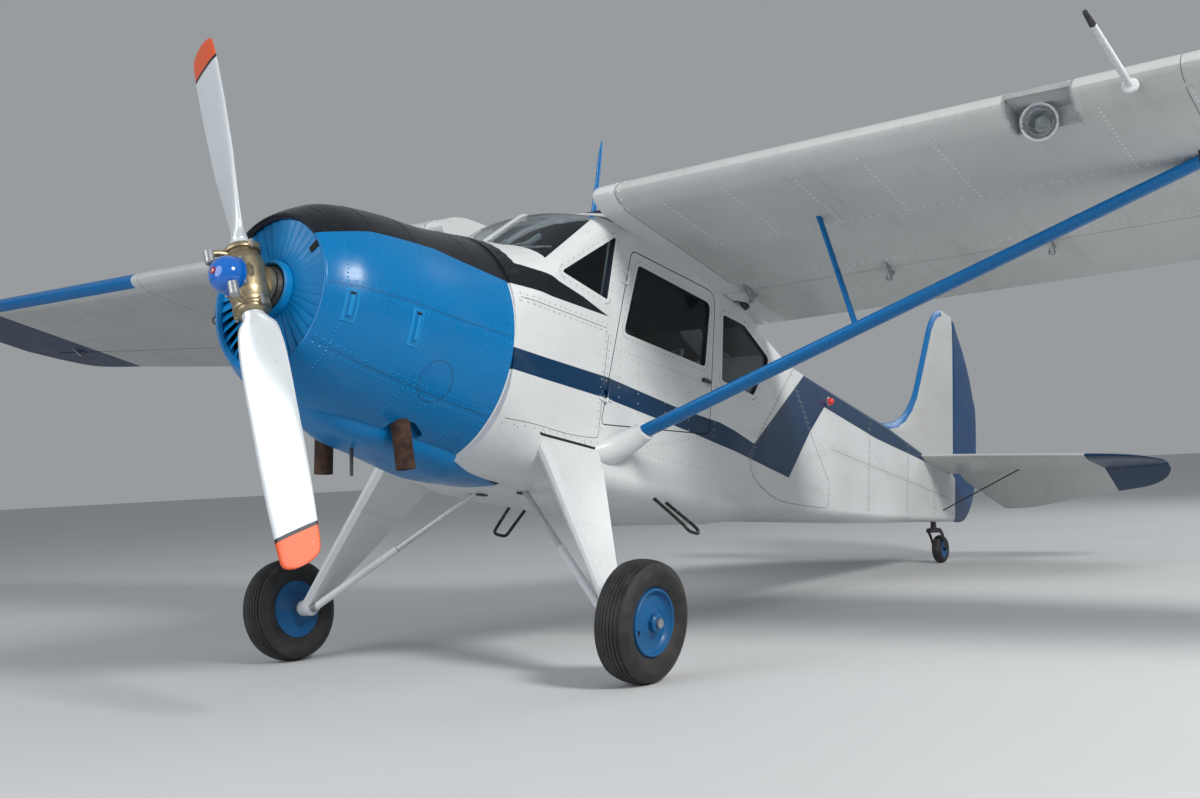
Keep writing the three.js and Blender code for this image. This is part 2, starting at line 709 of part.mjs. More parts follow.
function addCabin() {
  const shell = cabinShell();
  const glass = glassShell();
  const panels = cabinPanels();
  const cut = (name) => shell.intersect(slabY(panels[name], -700, 700));
  const door = sideSlab(DOOR);
  const doorHole = sideSlab(DOOR, RUNNING);
  const quarter = sideSlab(QUARTER_WINDOW);
  const rear = sideSlab(REAR_WINDOW);
  const window = sideSlab(DOOR_WINDOW);
  const axis = new THREE.Vector3(DOOR[1][0] - DOOR[0][0], 0, DOOR[1][1] - DOOR[0][1]).normalize();
  const hingeY = hullAt(doorFrontX(0))[1] + DOOR_HINGE_OUT;
  const [low, high] = DOOR_HINGE_HEIGHTS
    .map((z) => doorHinge(new THREE.Vector3(doorFrontX(z, RUNNING / 2), hingeY, z), axis));

  const nose = cut('nose').add(symmetric(low.post));
  add('nose_section', nose, 'white');
  const screen = cut('screen').subtract(windscreenHole()).subtract(symmetric(quarter)).add(symmetric(high.post));
  add('windscreen_frame', screen, 'white');
  add('cabin_floor', cut('floor'), 'white');
  const portHalf = block([-4200, TOUCH / 2, -FAR], [-1000, 700, FAR]);
  const side = cut('side').intersect(portHalf).subtract(doorHole).subtract(rear).subtract(windscreenHole());
  addPair('cabin_side', side, 'white');

  const leaf = shell.intersect(door).subtract(window).add(low.door).add(high.door);
  addPair('door', leaf, 'white');

  add('windscreen', glass.intersect(windscreenHole(-TOUCH)), 'glass', 0.1);
  addPair('quarter_window', glass.intersect(sideSlab(QUARTER_WINDOW, -TOUCH)), 'glass', 0.1);
  addPair('door_window', glass.intersect(sideSlab(DOOR_WINDOW, -TOUCH)), 'glass', 0.1);
  addPair('rear_window', glass.intersect(sideSlab(REAR_WINDOW, -TOUCH)), 'glass', 0.1);
}

// Seats and panel stand on the cabin floor
const FLOOR_Z = hullAt(ROOF_REAR_X)[2] + WALL + TOUCH;

function addInterior() {
  const cabinSpace = hull(-1300, -3900, WALL + TOUCH).intersect(mirrored(hull(-1300, -3900, WALL + TOUCH)));
  const seat = slabY([
    [-2330, FLOOR_Z], [-2330, -330], [-2300, -310], [-2300, -240], [-2700, -250], [-2800, 300],
    [-2870, 300], [-2790, -330], [-2730, -330], [-2730, FLOOR_Z],
  ], 60, 480);
  addPair('front_seat', seat.intersect(cabinSpace), 'fabric', 0.9);
  const bench = slabY([
    [-3180, FLOOR_Z], [-3180, -340], [-3150, -320], [-3150, -250], [-3600, -265], [-3720, 220],
    [-3790, 220], [-3700, -300], [-3620, -320], [-3560, FLOOR_Z + 45],
  ], -420, 420);
  add('rear_bench', bench.intersect(cabinSpace), 'fabric', 0.9);
  const panel = block([-1560, -560, 60], [-1500, 560, 350]);
  add('instrument_panel', panel.intersect(cabinSpace), 'black', 0.7);
}

// Wing, flaps and ailerons

function wingSolid() {
  return loft(WING.map((row) => wingRing(row[0], row)));
}

// Space behind the hinge line between two stations. Its front face leans back by a slope, so that
// an aileron's nose stays clear of the wing when its tail goes up.
function behindHinge(span, ahead, margin, slope = 0) {
  const ring = (y, side) => {
    const x = hingeX(y) + ahead;
    const z = undersideZ(x, y);
    return [
      [x, y + side * margin, z - 60], [x, y + side * margin, z],
      [x - slope * 200, y + side * margin, z + 200], [-3900, y + side * margin, z + 200],
      [-3900, y + side * margin, z - 60 - WING_SLOPE * 900],
    ];
  };
  return loft([ring(span[0], -1), ring(span[1], 1)]);
}

const HINGE_GAP = RUNNING / 2;
const AILERON_NOSE_BACK = 12;
const AILERON_NOSE_SLOPE = 0.46;
const FLAP_HINGES = [760, 1650, 2560];
const AILERON_HINGES = [3800, 5700];

function addWings() {
  const whole = wingSolid();
  let fixed = whole
    .subtract(behindHinge([WING_ROOT_Y - 10, KINK_Y], HINGE_GAP, RUNNING))
    .subtract(behindHinge([KINK_Y, AILERON_SPAN[1]], HINGE_GAP, RUNNING));
  let flap = whole.intersect(behindHinge(FLAP_SPAN, -HINGE_GAP, 0));
  let aileron = whole.intersect(behindHinge(AILERON_SPAN, -AILERON_NOSE_BACK, 0, AILERON_NOSE_SLOPE));
  const flapAxis = hingeAxis(FLAP_SPAN, FLAP_HINGE_DROP);
  const aileronAxis = hingeAxis(AILERON_SPAN, 0);
  for (const y of FLAP_HINGES) {
    const parts = hangingHinge(flapAxis, y);
    fixed = fixed.add(parts.fixed);
    flap = flap.add(parts.moving);
  }
  for (const y of AILERON_HINGES) {
    const parts = hangingHinge(aileronAxis, y);
    fixed = fixed.add(parts.fixed);
    aileron = aileron.add(parts.moving);
  }
  addPair('wing', fixed.subtract(strutSolid(TOUCH)), 'wing');
  addPair('flap', flap, 'wing');
  addPair('aileron', aileron, 'wing');
  add('wing_centre', wingCentre().add(antennaMast()), 'white');
}

// Straight hinge axis below the underside, between the ends of a span
function hingeAxis([inner, outer], drop) {
  const at = (y) => new THREE.Vector3(hingeX(y), y, undersideZ(hingeX(y), y) - 22 - drop);
  return { from: at(inner), to: at(outer) };
}

// Bracket under the wing that carries a flap or aileron beside its own arm
function hangingHinge(axisLine, y) {
  const { from, to } = axisLine;
  const t = (y - from.y) / (to.y - from.y);
  const at = from.clone().lerp(to, t);
  const axis = to.clone().sub(from).normalize();
  const up = undersideZ(at.x, y) - at.z + 14;
  const disc = (low, high) => turned([[0, low], [15, low], [15, high], [0, high]],
    new THREE.Vector3(), new THREE.Vector3(0, 0, 1), 10);
  const armY = (low, high, foot) => loft([
    [[-15, -4, low], [15, -4, low], [foot + 45, up, low], [foot - 45, up, low]],
    [[-15, -4, high], [15, -4, high], [foot + 45, up, high], [foot - 45, up, high]],
  ]);
  const forward = new THREE.Vector3(1, 0, 0);
  const flat = (solid) => placed(solid, at, forward, axis.clone().negate());
  return {
    fixed: flat(disc(-8, 8).add(armY(-8, 8, 62))),
    moving: flat(disc(8 + TOUCH, 20).add(armY(8 + TOUCH, 20, -66))),
  };
}

function antennaMast() {
  return bar([-2462, 0, 900], [-2520, 0, 1566], 26, 15, 10, 0.45);
}

// Struts

const STRUT_FOOT = [-2085, 540, -426];
const STRUT_TOP = [-2478, 3450, 797];
const JURY_FOOT = [-2262, 1850, 124];
const JURY_TOP = [-2350, 1580, 780];

function strutSolid(growth = 0) {
  return bar(STRUT_FOOT, STRUT_TOP, 62 + growth, 50 + growth, 12, 0.5);
}

function addStruts() {
  const fairing = bar(STRUT_FOOT, [-2102, 735, -348], 105, 66, 12, 0.62);
  const jury = bar(JURY_FOOT, JURY_TOP, 24, 24, 8, 0.55);
  const strut = strutSolid().add(fairing).add(jury)
    .subtract(symmetric(hull(-1700, -2600, -TOUCH)))
    .subtract(loft(WING.map((row) => wingRing(row[0], row, TOUCH))));
  addPair('strut', strut, 'blue');
}

// Main gear

// The wheels lean outwards at the top, so the port axle's outer end is low
const AXLE_TILT = new THREE.Vector3(0, Math.cos(CAMBER), -Math.sin(CAMBER));

function mainTyre(centre) {
  const half = TYRE_WIDTH / 2;
  const inner = RIM_RADIUS + TOUCH;
  return turned([
    [inner, -62], [RIM_RADIUS + 50, -half + 4], [TYRE_RADIUS - 60, -half], [TYRE_RADIUS - 18, -64],
    [TYRE_RADIUS, -22], [TYRE_RADIUS, 22], [TYRE_RADIUS - 18, 64], [TYRE_RADIUS - 60, half],
    [RIM_RADIUS + 50, half - 4], [inner, 62], [inner, -62],
  ], centre, AXLE_TILT, WHEEL_SIDES);
}

// Height of a wheel's centre when its tyre just touches the ground
function restingHeight(tyre) {
  const tilted = tyre.rotate([0, -THREE.MathUtils.radToDeg(NOSE_UP), 0]);
  return -tilted.boundingBox().min[2];
}

const AXLE_HEIGHT = restingHeight(mainTyre(new THREE.Vector3()));
const AXLE = fromParked(AXLE_PARKED.x, AXLE_PARKED.y, AXLE_HEIGHT);

function addMainGear() {
  const along = (distance) => AXLE.clone().addScaledVector(AXLE_TILT, distance).toArray();
  const section = (x0, x1, y, z, thick) => {
    const middle = (x0 + x1) / 2;
    const half = (x0 - x1) / 2;
    const count = 12;
    return Array.from({ length: count }, (_, i) => {
      const angle = (i / count) * Math.PI * 2;
      const across = thick * Math.sin(angle);
      return [middle + half * Math.cos(angle), y + across, z + across * 0.55];
    });
  };
  const leg = loft([
    section(-1425, -1945, 500, -455, 34),
    section(-1440, -1905, 590, -610, 32),
    section(-1410, -1530, 1035, -1335, 24),
    section(-1425, -1495, 1062, -1380, 20),
  ]);
  const axle = bar(along(-225), along(70), AXLE_RADIUS, AXLE_RADIUS, 16);
  const boss = bar(along(-190), along(-TYRE_WIDTH / 2 - 12), 44, 44, 16);
  addPair('gear_leg', leg.add(boss).add(axle).subtract(symmetric(hull(-1300, -2300, -TOUCH))), 'white');

  const foot = along(-208);
  const head = [-1809, 149, -680];
  const rod = bar(foot, head, 21, 21, 10)
    .subtract(bar(along(-300), along(100), AXLE_RADIUS + TOUCH, AXLE_RADIUS + TOUCH, 16))
    .subtract(bar(along(-190 - TOUCH), along(0), 60, 60, 16))
    .subtract(symmetric(hull(-1300, -2300, -TOUCH)));
  addPair('gear_brace', rod, 'metal');

  addPair('main_tyre', mainTyre(AXLE), 'tyre', 0.9);
  const bore = AXLE_RADIUS + 2 * TOUCH;
  const rim = turned([
    [bore, -66], [RIM_RADIUS, -60], [RIM_RADIUS, 60], [RIM_RADIUS - 8, 72],
    [RIM_RADIUS - 30, 76], [60, 66], [40, 108], [0, 108], [0, 74], [bore, 74], [bore, -66],
  ], AXLE, AXLE_TILT, WHEEL_SIDES);
  addPair('main_wheel', rim, 'blue');
}

// Tail

const TAIL_HINGES = [60, 700, 1500];
// Fin and rudder rows: z, fin's leading edge x, rudder's trailing edge x
const RUDDER_HINGE_X = -8126;
const FIN = [
  [250, -6250, 84], [470, -6330, 84], [525, -6600, 84], [582, -6837, 83], [664, -7006, 82],
  [772, -7138, 80], [897, -7237, 78], [1062, -7317, 75], [1423, -7478, 65], [1595, -7556, 56],
  [1704, -7640, 44], [1775, -7730, 32], [1806, -7820, 22],
];
const RUDDER = [
  [-118, -8260, 30], [-60, -8480, 40], [184, -8685, 56], [640, -8755, 70], [1000, -8735, 68],
  [1127, -8672, 66], [1319, -8569, 60], [1519, -8416, 54], [1671, -8265, 44], [1740, -8205, 34], [1775, -8170, 22],
];

// Leaf-shaped ring in plan: rounded nose, thin tail
function leafRing(z, noseX, tailX, thick, noseBlunt) {
  const half = thick / 2;
  const chord = noseX - tailX;
  const rows = [[0, 0], [0.05, 0.55], [0.3, 1], [0.7, 0.85], [1, noseBlunt]];
  const left = rows.map(([t, f]) => [noseX - t * chord, half * Math.max(f, 0.04), z]);
  const right = rows.slice(1).reverse().map(([t, f]) => [noseX - t * chord, -half * Math.max(f, 0.04), z]);
  return [...left, ...right];
}

// Section of a control surface: a round nose about its hinge and a thin tail, as [forward, across]
const NOSE_SHARE = 0.42;
function controlSection(back, thick) {
  const radius = Math.max(thick * NOSE_SHARE, 6);
  const upper = [90, 60, 30].map((angle) => {
    const a = THREE.MathUtils.degToRad(angle);
    return [radius * Math.cos(a), radius * Math.sin(a)];
  });
  const lower = upper.map(([forward, across]) => [forward, -across]).reverse();
  return [[-back, 3], ...upper, [radius, 0], ...lower, [-back, -3]];
}

// Distance from a hinge to the edge of what carries it
function hingeSetback(rows) {
  return Math.max(...rows.map((row) => row[row.length - 1])) * NOSE_SHARE + RUNNING;
}

function addFin() {
  const edge = RUDDER_HINGE_X + hingeSetback(RUDDER);
  let fin = loft(FIN.map(([z, nose, thick]) => leafRing(z, nose, edge, thick, 0.8)));
  const rows = RUDDER.map(([z, tail, thick]) => controlSection(RUDDER_HINGE_X - tail, thick)
    .map(([ahead, across]) => [RUDDER_HINGE_X + ahead, across, z]));
  let rudder = loft(rows);
  const axis = new THREE.Vector3(0, 0, 1);
  const forward = new THREE.Vector3(1, 0, 0);
  let tailLugs = null;
  for (const z of TAIL_HINGES) {
    const lug = hingeLug(new THREE.Vector3(RUDDER_HINGE_X, 0, z), forward, axis, 60);
    rudder = rudder.subtract(lug.slot);
    if (z > 300) {
      fin = fin.add(lug.plate);
    } else {
      tailLugs = lug.plate;
    }
  }
  const tail = hull(BULKHEAD_X - TOUCH, TAIL_POST_X, 0);
  add('fin', fin.subtract(hull(-5900, TAIL_POST_X - 20, -TOUCH)).subtract(stabiliserSolid(TOUCH)), 'wing');
  add('rudder', rudder, 'darkBlue');
  return tail.add(tailLugs);
}

const STAB_Z = 315;
const ELEVATOR_HINGE_X = -7985;
const ELEVATOR_DROOP = THREE.MathUtils.degToRad(21.6);
// Tailplane rows: y, leading edge x, elevator's trailing edge distance behind the hinge, thickness
const STAB = [
  [0, -7020, 430, 74], [150, -7063, 430, 74], [260, -7097, 600, 73], [330, -7113, 710, 72],
  [568, -7160, 700, 69], [836, -7230, 623, 66], [1124, -7300, 537, 63], [1391, -7378, 454, 60],
  [1667, -7460, 380, 47], [1800, -7545, 306, 38], [1889, -7655, 212, 28], [1940, -7770, 100, 16],
];

function stabiliserSolid(margin = 0) {
  const tail = ELEVATOR_HINGE_X + hingeSetback(STAB) - margin;
  const ring = (y, nose, thick) => leafRing(y, nose + margin, tail, thick + 2 * margin, 0.8)
    .map(([x, across]) => [x, y, STAB_Z + across]);
  const port = STAB.map(([y, nose, , thick]) => ring(y, nose, thick));
  const starboard = STAB.slice(1).reverse().map(([y, nose, , thick]) => ring(-y, nose, thick));
  return loft([...starboard, ...port]);
}

const ELEVATOR_HINGES = [350, 1000, 1650];
const RUDDER_CLEARANCE = 330;

function addTailplane(tail) {
  let stabiliser = stabiliserSolid();
  const axis = new THREE.Vector3(0, 1, 0);
  const forward = new THREE.Vector3(1, 0, 0);
  const rows = STAB.filter(([y]) => y > 0).map(([y, , back, thick]) => controlSection(back, thick)
    .map(([ahead, across]) => [ELEVATOR_HINGE_X + ahead, y, STAB_Z + across]));
  let elevator = loft(rows).subtract(slabZ([
    [-7900, 0], [-7900, 130], [-8060, 130], [-8700, RUDDER_CLEARANCE], [-8700, 0],
  ], 0, 700));
  const pivot = new THREE.Vector3(ELEVATOR_HINGE_X, 0, STAB_Z);
  const droop = new THREE.Matrix4().makeTranslation(pivot.x, 0, pivot.z)
    .multiply(new THREE.Matrix4().makeRotationY(-ELEVATOR_DROOP))
    .multiply(new THREE.Matrix4().makeTranslation(-pivot.x, 0, -pivot.z));
  for (const y of ELEVATOR_HINGES) {
    const lug = hingeLug(new THREE.Vector3(ELEVATOR_HINGE_X, y, STAB_Z), forward, axis, 60);
    elevator = elevator.subtract(lug.slot);
    stabiliser = stabiliser.add(lug.plate).add(mirrored(lug.plate));
  }
  addPair('elevator', elevator.transform(droop.elements), 'wing');
  const stays = [1, -1].map((side) => bar([-7850, side * 740, STAB_Z - 24], [-7720, side * 60, -90], 9, 9, 8));
  const tailCut = tail.subtract(stabiliserSolid(TOUCH));
  add('stabiliser', stabiliser, 'wing');
  addPair('tail_stay', stays[0].subtract(stabiliserSolid(TOUCH)).subtract(hull(-7000, TAIL_POST_X, -TOUCH)), 'metal');
  add('rear_fuselage', tailCut.subtract(tailSocket()), 'white');
}

// Hole in the tail for the fork's stem
function tailSocket() {
  const at = (height) => tailPivot(height).toArray();
  const radius = TAIL_STEM.radius + 2 * TOUCH;
  return bar(at(TAIL_FORK_TOP), at(TAIL_FORK_TOP + TAIL_STEM.length + 1), radius, radius, 16);
}

const TAIL_FORK_TOP = 318;
const TAIL_STEM = { radius: 24, length: 130 };

// Point on the swivel axis, at a height in the parked frame
function tailPivot(height) {
  return fromParked(TAIL_WHEEL.x + TAIL_TRAIL, 0, height);
}

function addTailWheel() {
  const pivotAt = (height) => tailPivot(height).toArray();
  const hubAt = (y) => fromParked(TAIL_WHEEL.x, y, TAIL_WHEEL.z);
  const side = (y) => {
    const crown = fromParked(TAIL_WHEEL.x + TAIL_TRAIL, y, TAIL_FORK_TOP - 16);
    return bar(crown.toArray(), hubAt(y).toArray(), 20, 18, 12, 0.35);
  };
  const [left, right] = [58, -58];
  const crown = block([-30, -68, -16], [46, 68, 16]);
  const crownPlaced = placed(crown, tailPivot(TAIL_FORK_TOP - 16), PARKED_FORWARD, PARKED_UP);
  const axle = bar(hubAt(-66).toArray(), hubAt(66).toArray(), 12, 12, 16);
  const { radius, length } = TAIL_STEM;
  const stem = bar(pivotAt(TAIL_FORK_TOP - 20), pivotAt(TAIL_FORK_TOP + length), radius, radius, 16);
  add('tail_fork', crownPlaced.add(side(left)).add(side(right)).add(axle).add(stem), 'metal', 0.5, 0.6);
  const width = 42;
  const bore = 12 + 2 * TOUCH;
  const profile = [
    [bore, -30], [70, -26], [82, -width], [106, -width], [TAIL_TYRE_RADIUS, -12],
    [TAIL_TYRE_RADIUS, 12], [106, width], [82, width], [70, 26], [bore, 30], [bore, -30],
  ];
  add('tail_wheel', turned(profile, hubAt(0), new THREE.Vector3(0, 1, 0), 20), 'tyre', 0.9);
}

// Entry steps: a bent tube under each door

const STEP_PATH = [
  [-2505, 500, -640], [-2572, 680, -795], [-2580, 699, -818], [-2600, 705, -830],
  [-2680, 705, -834], [-2698, 699, -824], [-2704, 684, -800], [-2645, 500, -655],
];
const STEP_RADIUS = 10;

// Tube along a path, mitred at each bend
function pipe(path, radius, sides) {
  const points = path.map((p) => new THREE.Vector3(...p));
  const directions = points.map((p, i) => {
    const before = points[Math.max(0, i - 1)];
    const after = points[Math.min(points.length - 1, i + 1)];
    return after.clone().sub(before).normalize();
  });
  let u = new THREE.Vector3(0, 1, 0).cross(directions[0]).normalize();
  const rings = points.map((p, i) => {
    u = u.clone().addScaledVector(directions[i], -u.dot(directions[i])).normalize();
    const v = directions[i].clone().cross(u);
    return Array.from({ length: sides }, (_, k) => {
      const angle = (k / sides) * Math.PI * 2;
      return p.clone().addScaledVector(u, Math.cos(angle) * radius)
        .addScaledVector(v, Math.sin(angle) * radius).toArray();
    });
  });
  return loft(rings);
}

function addSteps() {
  const tube = pipe(STEP_PATH, STEP_RADIUS, 8);
  addPair('entry_step', tube.subtract(symmetric(hull(-2300, -2900, -TOUCH))), 'black');
}

add('engine_block', engineBlock(), 'steel', 0.6, 0.7);
add('cowl', cowlShell(), 'blue', 0.35);
add('shutter_disc', shutterDisc(), 'blue', 0.4);
add('belly_fairing', bellyFairing(), 'blue', 0.4);
addPair('exhaust', exhaustPipe(), 'rust', 0.8, 0.5);
addPropeller();
addCabin();
addInterior();
addWings();
addStruts();
addMainGear();
addTailplane(addFin());
addTailWheel();
addSteps();

export default root;
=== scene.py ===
"""High-wing utility aircraft, parked on its tail wheel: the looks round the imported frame.

Shapes are made in metres in the aircraft's own frame: x forward along the thrust line from
the centre of the propeller hub, y to port, z up. BODY then tilts and lifts them to the
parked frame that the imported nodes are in.
"""

import json
import math

import bmesh
import bpy
from mathutils import Matrix, Vector
from mathutils.bvhtree import BVHTree

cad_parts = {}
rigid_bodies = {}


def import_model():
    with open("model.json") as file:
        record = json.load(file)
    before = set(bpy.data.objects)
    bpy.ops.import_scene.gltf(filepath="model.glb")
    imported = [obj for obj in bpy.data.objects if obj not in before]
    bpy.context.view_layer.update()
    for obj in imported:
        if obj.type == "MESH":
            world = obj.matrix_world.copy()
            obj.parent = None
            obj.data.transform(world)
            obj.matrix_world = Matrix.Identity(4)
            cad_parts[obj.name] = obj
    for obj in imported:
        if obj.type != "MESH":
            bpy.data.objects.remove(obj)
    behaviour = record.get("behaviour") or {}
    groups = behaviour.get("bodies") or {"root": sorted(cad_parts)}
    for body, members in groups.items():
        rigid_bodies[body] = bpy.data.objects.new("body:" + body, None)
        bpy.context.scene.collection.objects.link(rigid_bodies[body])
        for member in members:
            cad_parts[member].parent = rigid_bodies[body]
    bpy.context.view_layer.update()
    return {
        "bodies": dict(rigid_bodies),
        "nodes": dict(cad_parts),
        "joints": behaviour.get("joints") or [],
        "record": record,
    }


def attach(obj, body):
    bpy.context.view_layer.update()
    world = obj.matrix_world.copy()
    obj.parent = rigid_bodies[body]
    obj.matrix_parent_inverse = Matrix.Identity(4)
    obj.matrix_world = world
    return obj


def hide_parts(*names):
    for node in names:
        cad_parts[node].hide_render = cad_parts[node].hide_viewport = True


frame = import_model()

NOSE_UP = math.radians(9.96)
HUB = Vector((4.2703, 0.0, 1.884))
BODY = Matrix.Translation(HUB) @ Matrix.Rotation(-NOSE_UP, 4, "Y")
RUNNING = 0.006
WALL = 0.040
PANE = 0.006
PANE_INSET = 0.012
TOUCH = 0.0003
FORWARD = Vector((1, 0, 0))
PORT = Vector((0, 1, 0))
UP = Vector((0, 0, 1))
# Cutting shapes reach this far to each side and this high
HALF_BEYOND = 1
ABOVE_ALL = 1.2


def metres(rows):
    return [[value / 1000 for value in row] for row in rows]


# Fuselage sections: x, half width, lowest z, highest z,
# then the width and rise of the lower corner and of the upper corner
HULL = metres([
    (-1165, 576, -664, 555, 500, 490, 575, 560),
    (-1440, 566, -681, 572, 300, 205, 565, 250),
    (-1620, 563, -684, 718, 250, 150, 562, 226),
    (-1810, 560, -705, 872, 200, 120, 559, 200),
    (-2200, 557, -705, 984, 200, 120, 540, 240),
    (-3300, 550, -705, 872, 200, 120, 500, 190),
    (-3650, 514, -640, 622, 180, 100, 430, 70),
    (-4150, 462, -575, 500, 150, 90, 330, 60),
    (-6200, 247, -362, 462, 100, 70, 200, 90),
    (-8100, 55, -130, 300, 40, 40, 54, 50),
])
FIREWALL_X = -1.165
BULKHEAD_X = -3.960
TAIL_POST_X = -8.094

# Cowl sections: x, outer radius across, rise above and fall below the centre, centre height
COWL = metres([
    (-130, 374, 374, 374, -19),
    (-200, 423, 421, 425, -20),
    (-320, 478, 478, 480, -25),
    (-550, 519, 523, 530, -35),
    (-850, 540, 556, 572, -48),
    (-1157, 578, 613, 610, -58),
])
COWL_WALL = 0.014
COWL_CENTRE = -0.019

WING_ROOT_Y = 0.546
WING_NOSE_X = -1.750
KINK_Y = 3.500
UPPER_FOIL = [
    (0, 0.035), (0.012, 0.058), (0.05, 0.083), (0.12, 0.104), (0.25, 0.117), (0.4, 0.114),
    (0.55, 0.098), (0.72, 0.068), (0.88, 0.031), (1, 0.004),
]
LOWER_FOIL = [(0, 0.035), (0.012, 0.018), (0.05, 0.006), (0.15, 0), (1, 0)]
# Wing sections: y, nose x, trailing edge x, thickness factor
WING = [
    (WING_ROOT_Y, -1.750, -3.650, 1),
    (3.500, -1.745, -3.610, 1),
    (5.475, -1.725, -3.190, 0.95),
    (5.960, -1.790, -3.085, 0.8),
    (6.170, -1.930, -2.850, 0.6),
    (6.290, -2.190, -2.560, 0.5),
]
AILERON_END_Y = 5.960
TIP_Y = 6.290
# Underside: its height at the root's nose, its rise outboard and its rise forward, per metre
ROOT_UNDERSIDE = 0.805
DIHEDRAL = 0.021
INCIDENCE = 0.0972
UNDERSIDE_NORMAL = Vector((0.0967, 0.021, -0.995)).normalized()
HINGE_LINE = [(0, -3.110), (KINK_Y, -3.070), (AILERON_END_Y, -2.690)]
FLAP_SPAN = (0.558, KINK_Y - 0.010)
AILERON_SPAN = (KINK_Y + 0.010, AILERON_END_Y)
FLAP_HINGES = [0.760, 1.650, 2.560]
AILERON_HINGES = [3.800, 5.700]
# Painted areas and the seam between wing and centre
ROOT_SEAM_Y = 0.690
SLAT_ROOT_Y, SLAT_REAR_X = 3.580, -1.795
TIP_PAINT_Y, TAIL_TIP_PAINT_Y = 5.475, 1.430
TIE_DOWN = (-2.395, 3.430)
LAMP_LOW, LAMP_HIGH = 2.775, 3.055
LAMP_CENTRE = Vector((-1.930, 2.880, 0.878))
LAMP_FACING = (1, 0.1, -0.40)
PITOT_BASE = Vector((-1.785, 3.300, 0.886))
PITOT_TIP = Vector((-1.148, 3.300, 0.940))
STRUT_FOOT, STRUT_TOP = (-2.085, 0.540, -0.426), (-2.478, 3.450, 0.797)
JURY_FOOT, JURY_TOP = (-2.262, 1.850, 0.124), (-2.350, 1.580, 0.780)

# Side-view outlines: x, z, corner radius
DOOR = metres([(-1923, -336, 25), (-2120, 668, 50), (-3009, 655, 90), (-3006, -206, 60)])
DOOR_WINDOW = metres([(-2086, 195, 30), (-2190, 605, 30), (-2960, 580, 50), (-2930, 185, 30)])
QUARTER_WINDOW = metres([(-1505, 384, 12), (-1965, 705, 12), (-1915, 338, 12)])
REAR_WINDOW = metres([(-3128, 140, 25), (-3115, 550, 20), (-3390, 545, 60), (-3790, 420, 40),
                      (-3560, 136, 40)])
ROOF_REAR_X = -2.200
SCREEN_FRONT_X, SCREEN_REAR_X, SCREEN_HALF = -1.447, -2.186, 0.497
POST_REAR_X, POST_HALF = -1.850, 0.013
DOOR_HINGE_HEIGHTS = [-0.180, 0.500]
DOOR_HINGE_OUT = 0.014

# Fin rows: z, leading edge x, thickness. Rudder rows: z, trailing edge x, thickness.
# Tailplane rows: y, leading edge x, elevator's trailing edge distance behind the hinge, thickness.
FIN = metres([(250, -6250, 84), (470, -6330, 84), (525, -6600, 84), (582, -6837, 83), (664, -7006, 82),
              (772, -7138, 80), (897, -7237, 78), (1062, -7317, 75), (1423, -7478, 65), (1595, -7556, 56),
              (1704, -7640, 44), (1775, -7730, 32), (1806, -7820, 22)])
RUDDER = metres([(-118, -8260, 30), (-60, -8480, 40), (184, -8685, 56), (640, -8755, 70), (1000, -8735, 68),
                 (1127, -8672, 66), (1319, -8569, 60), (1519, -8416, 54), (1671, -8265, 44),
                 (1740, -8205, 34), (1775, -8170, 22)])
STAB = metres([(0, -7020, 430, 74), (150, -7063, 430, 74), (260, -7097, 600, 73), (330, -7113, 710, 72),
               (568, -7160, 700, 69), (836, -7230, 623, 66), (1124, -7300, 537, 63), (1391, -7378, 454, 60),
               (1667, -7460, 380, 47), (1800, -7545, 306, 38), (1889, -7655, 212, 28),
               (1940, -7770, 100, 16)])

CAMBER = math.radians(4.6)
TYRE_RADIUS = 0.282
RIM_RADIUS = 0.158
TYRE_WIDTH = 0.185
AXLE_RADIUS = 0.024
AXLE_PLACE = (-1.199, 1.199, 0.282505)
BRACE_HEAD = Vector((-1.809, 0.149, -0.680))
TAIL_TYRE_RADIUS = 0.125
TAIL_WHEEL_X = -7.704
TRAIL = 0.130
BLADE_LEAN = math.radians(23.1)
BLADE_LINE_OUT, BLADE_TIP_OUT = 1.208, 1.226
PANEL_X, PANEL_ANGLE = -0.766, -0.55
SEAM_RADIUS = 0.53
SHUTTERS = 40
PETAL_OVERLAP = 1.13


def lerp(a, b, t):
    return a + (b - a) * t


def row_at(rows, value):
    """Row of a table at a value of its first column, by straight lines."""
    falling = rows[0][0] > rows[-1][0]
    for front, rear in zip(rows, rows[1:]):
        if (rear[0] <= value) if falling else (rear[0] >= value):
            break
    t = (value - front[0]) / (rear[0] - front[0])
    return [lerp(a, b, t) for a, b in zip(front, rear)]


def smooth_rows(rows, steps):
    """The rows with more between them, on curves through them that don't overshoot."""
    made = []
    for i in range(len(rows) - 1):
        before, here, after, beyond = (
            rows[max(0, i - 1)], rows[i], rows[i + 1], rows[min(len(rows) - 1, i + 2)]
        )
        for k in range(steps):
            t = k / steps
            row = []
            for a, b, c, d in zip(before, here, after, beyond):
                m0 = (c - a) / 2
                m1 = (d - b) / 2
                if (b - a) * (c - b) <= 0:
                    m0 = 0
                if (c - b) * (d - c) <= 0:
                    m1 = 0
                row.append(
                    (2 * t**3 - 3 * t**2 + 1) * b + (t**3 - 2 * t**2 + t) * m0
                    + (-2 * t**3 + 3 * t**2) * c + (t**3 - t**2) * m1
                )
            made.append(row)
    made.append(list(rows[-1]))
    return made


def from_parked(x, y, z):
    """Point in the aircraft's frame of one given level with the ground, from the hub's foot."""
    return Matrix.Rotation(NOSE_UP, 3, "Y") @ Vector((x, y, z - HUB.z))


# Shapes. A part is its points and its faces.


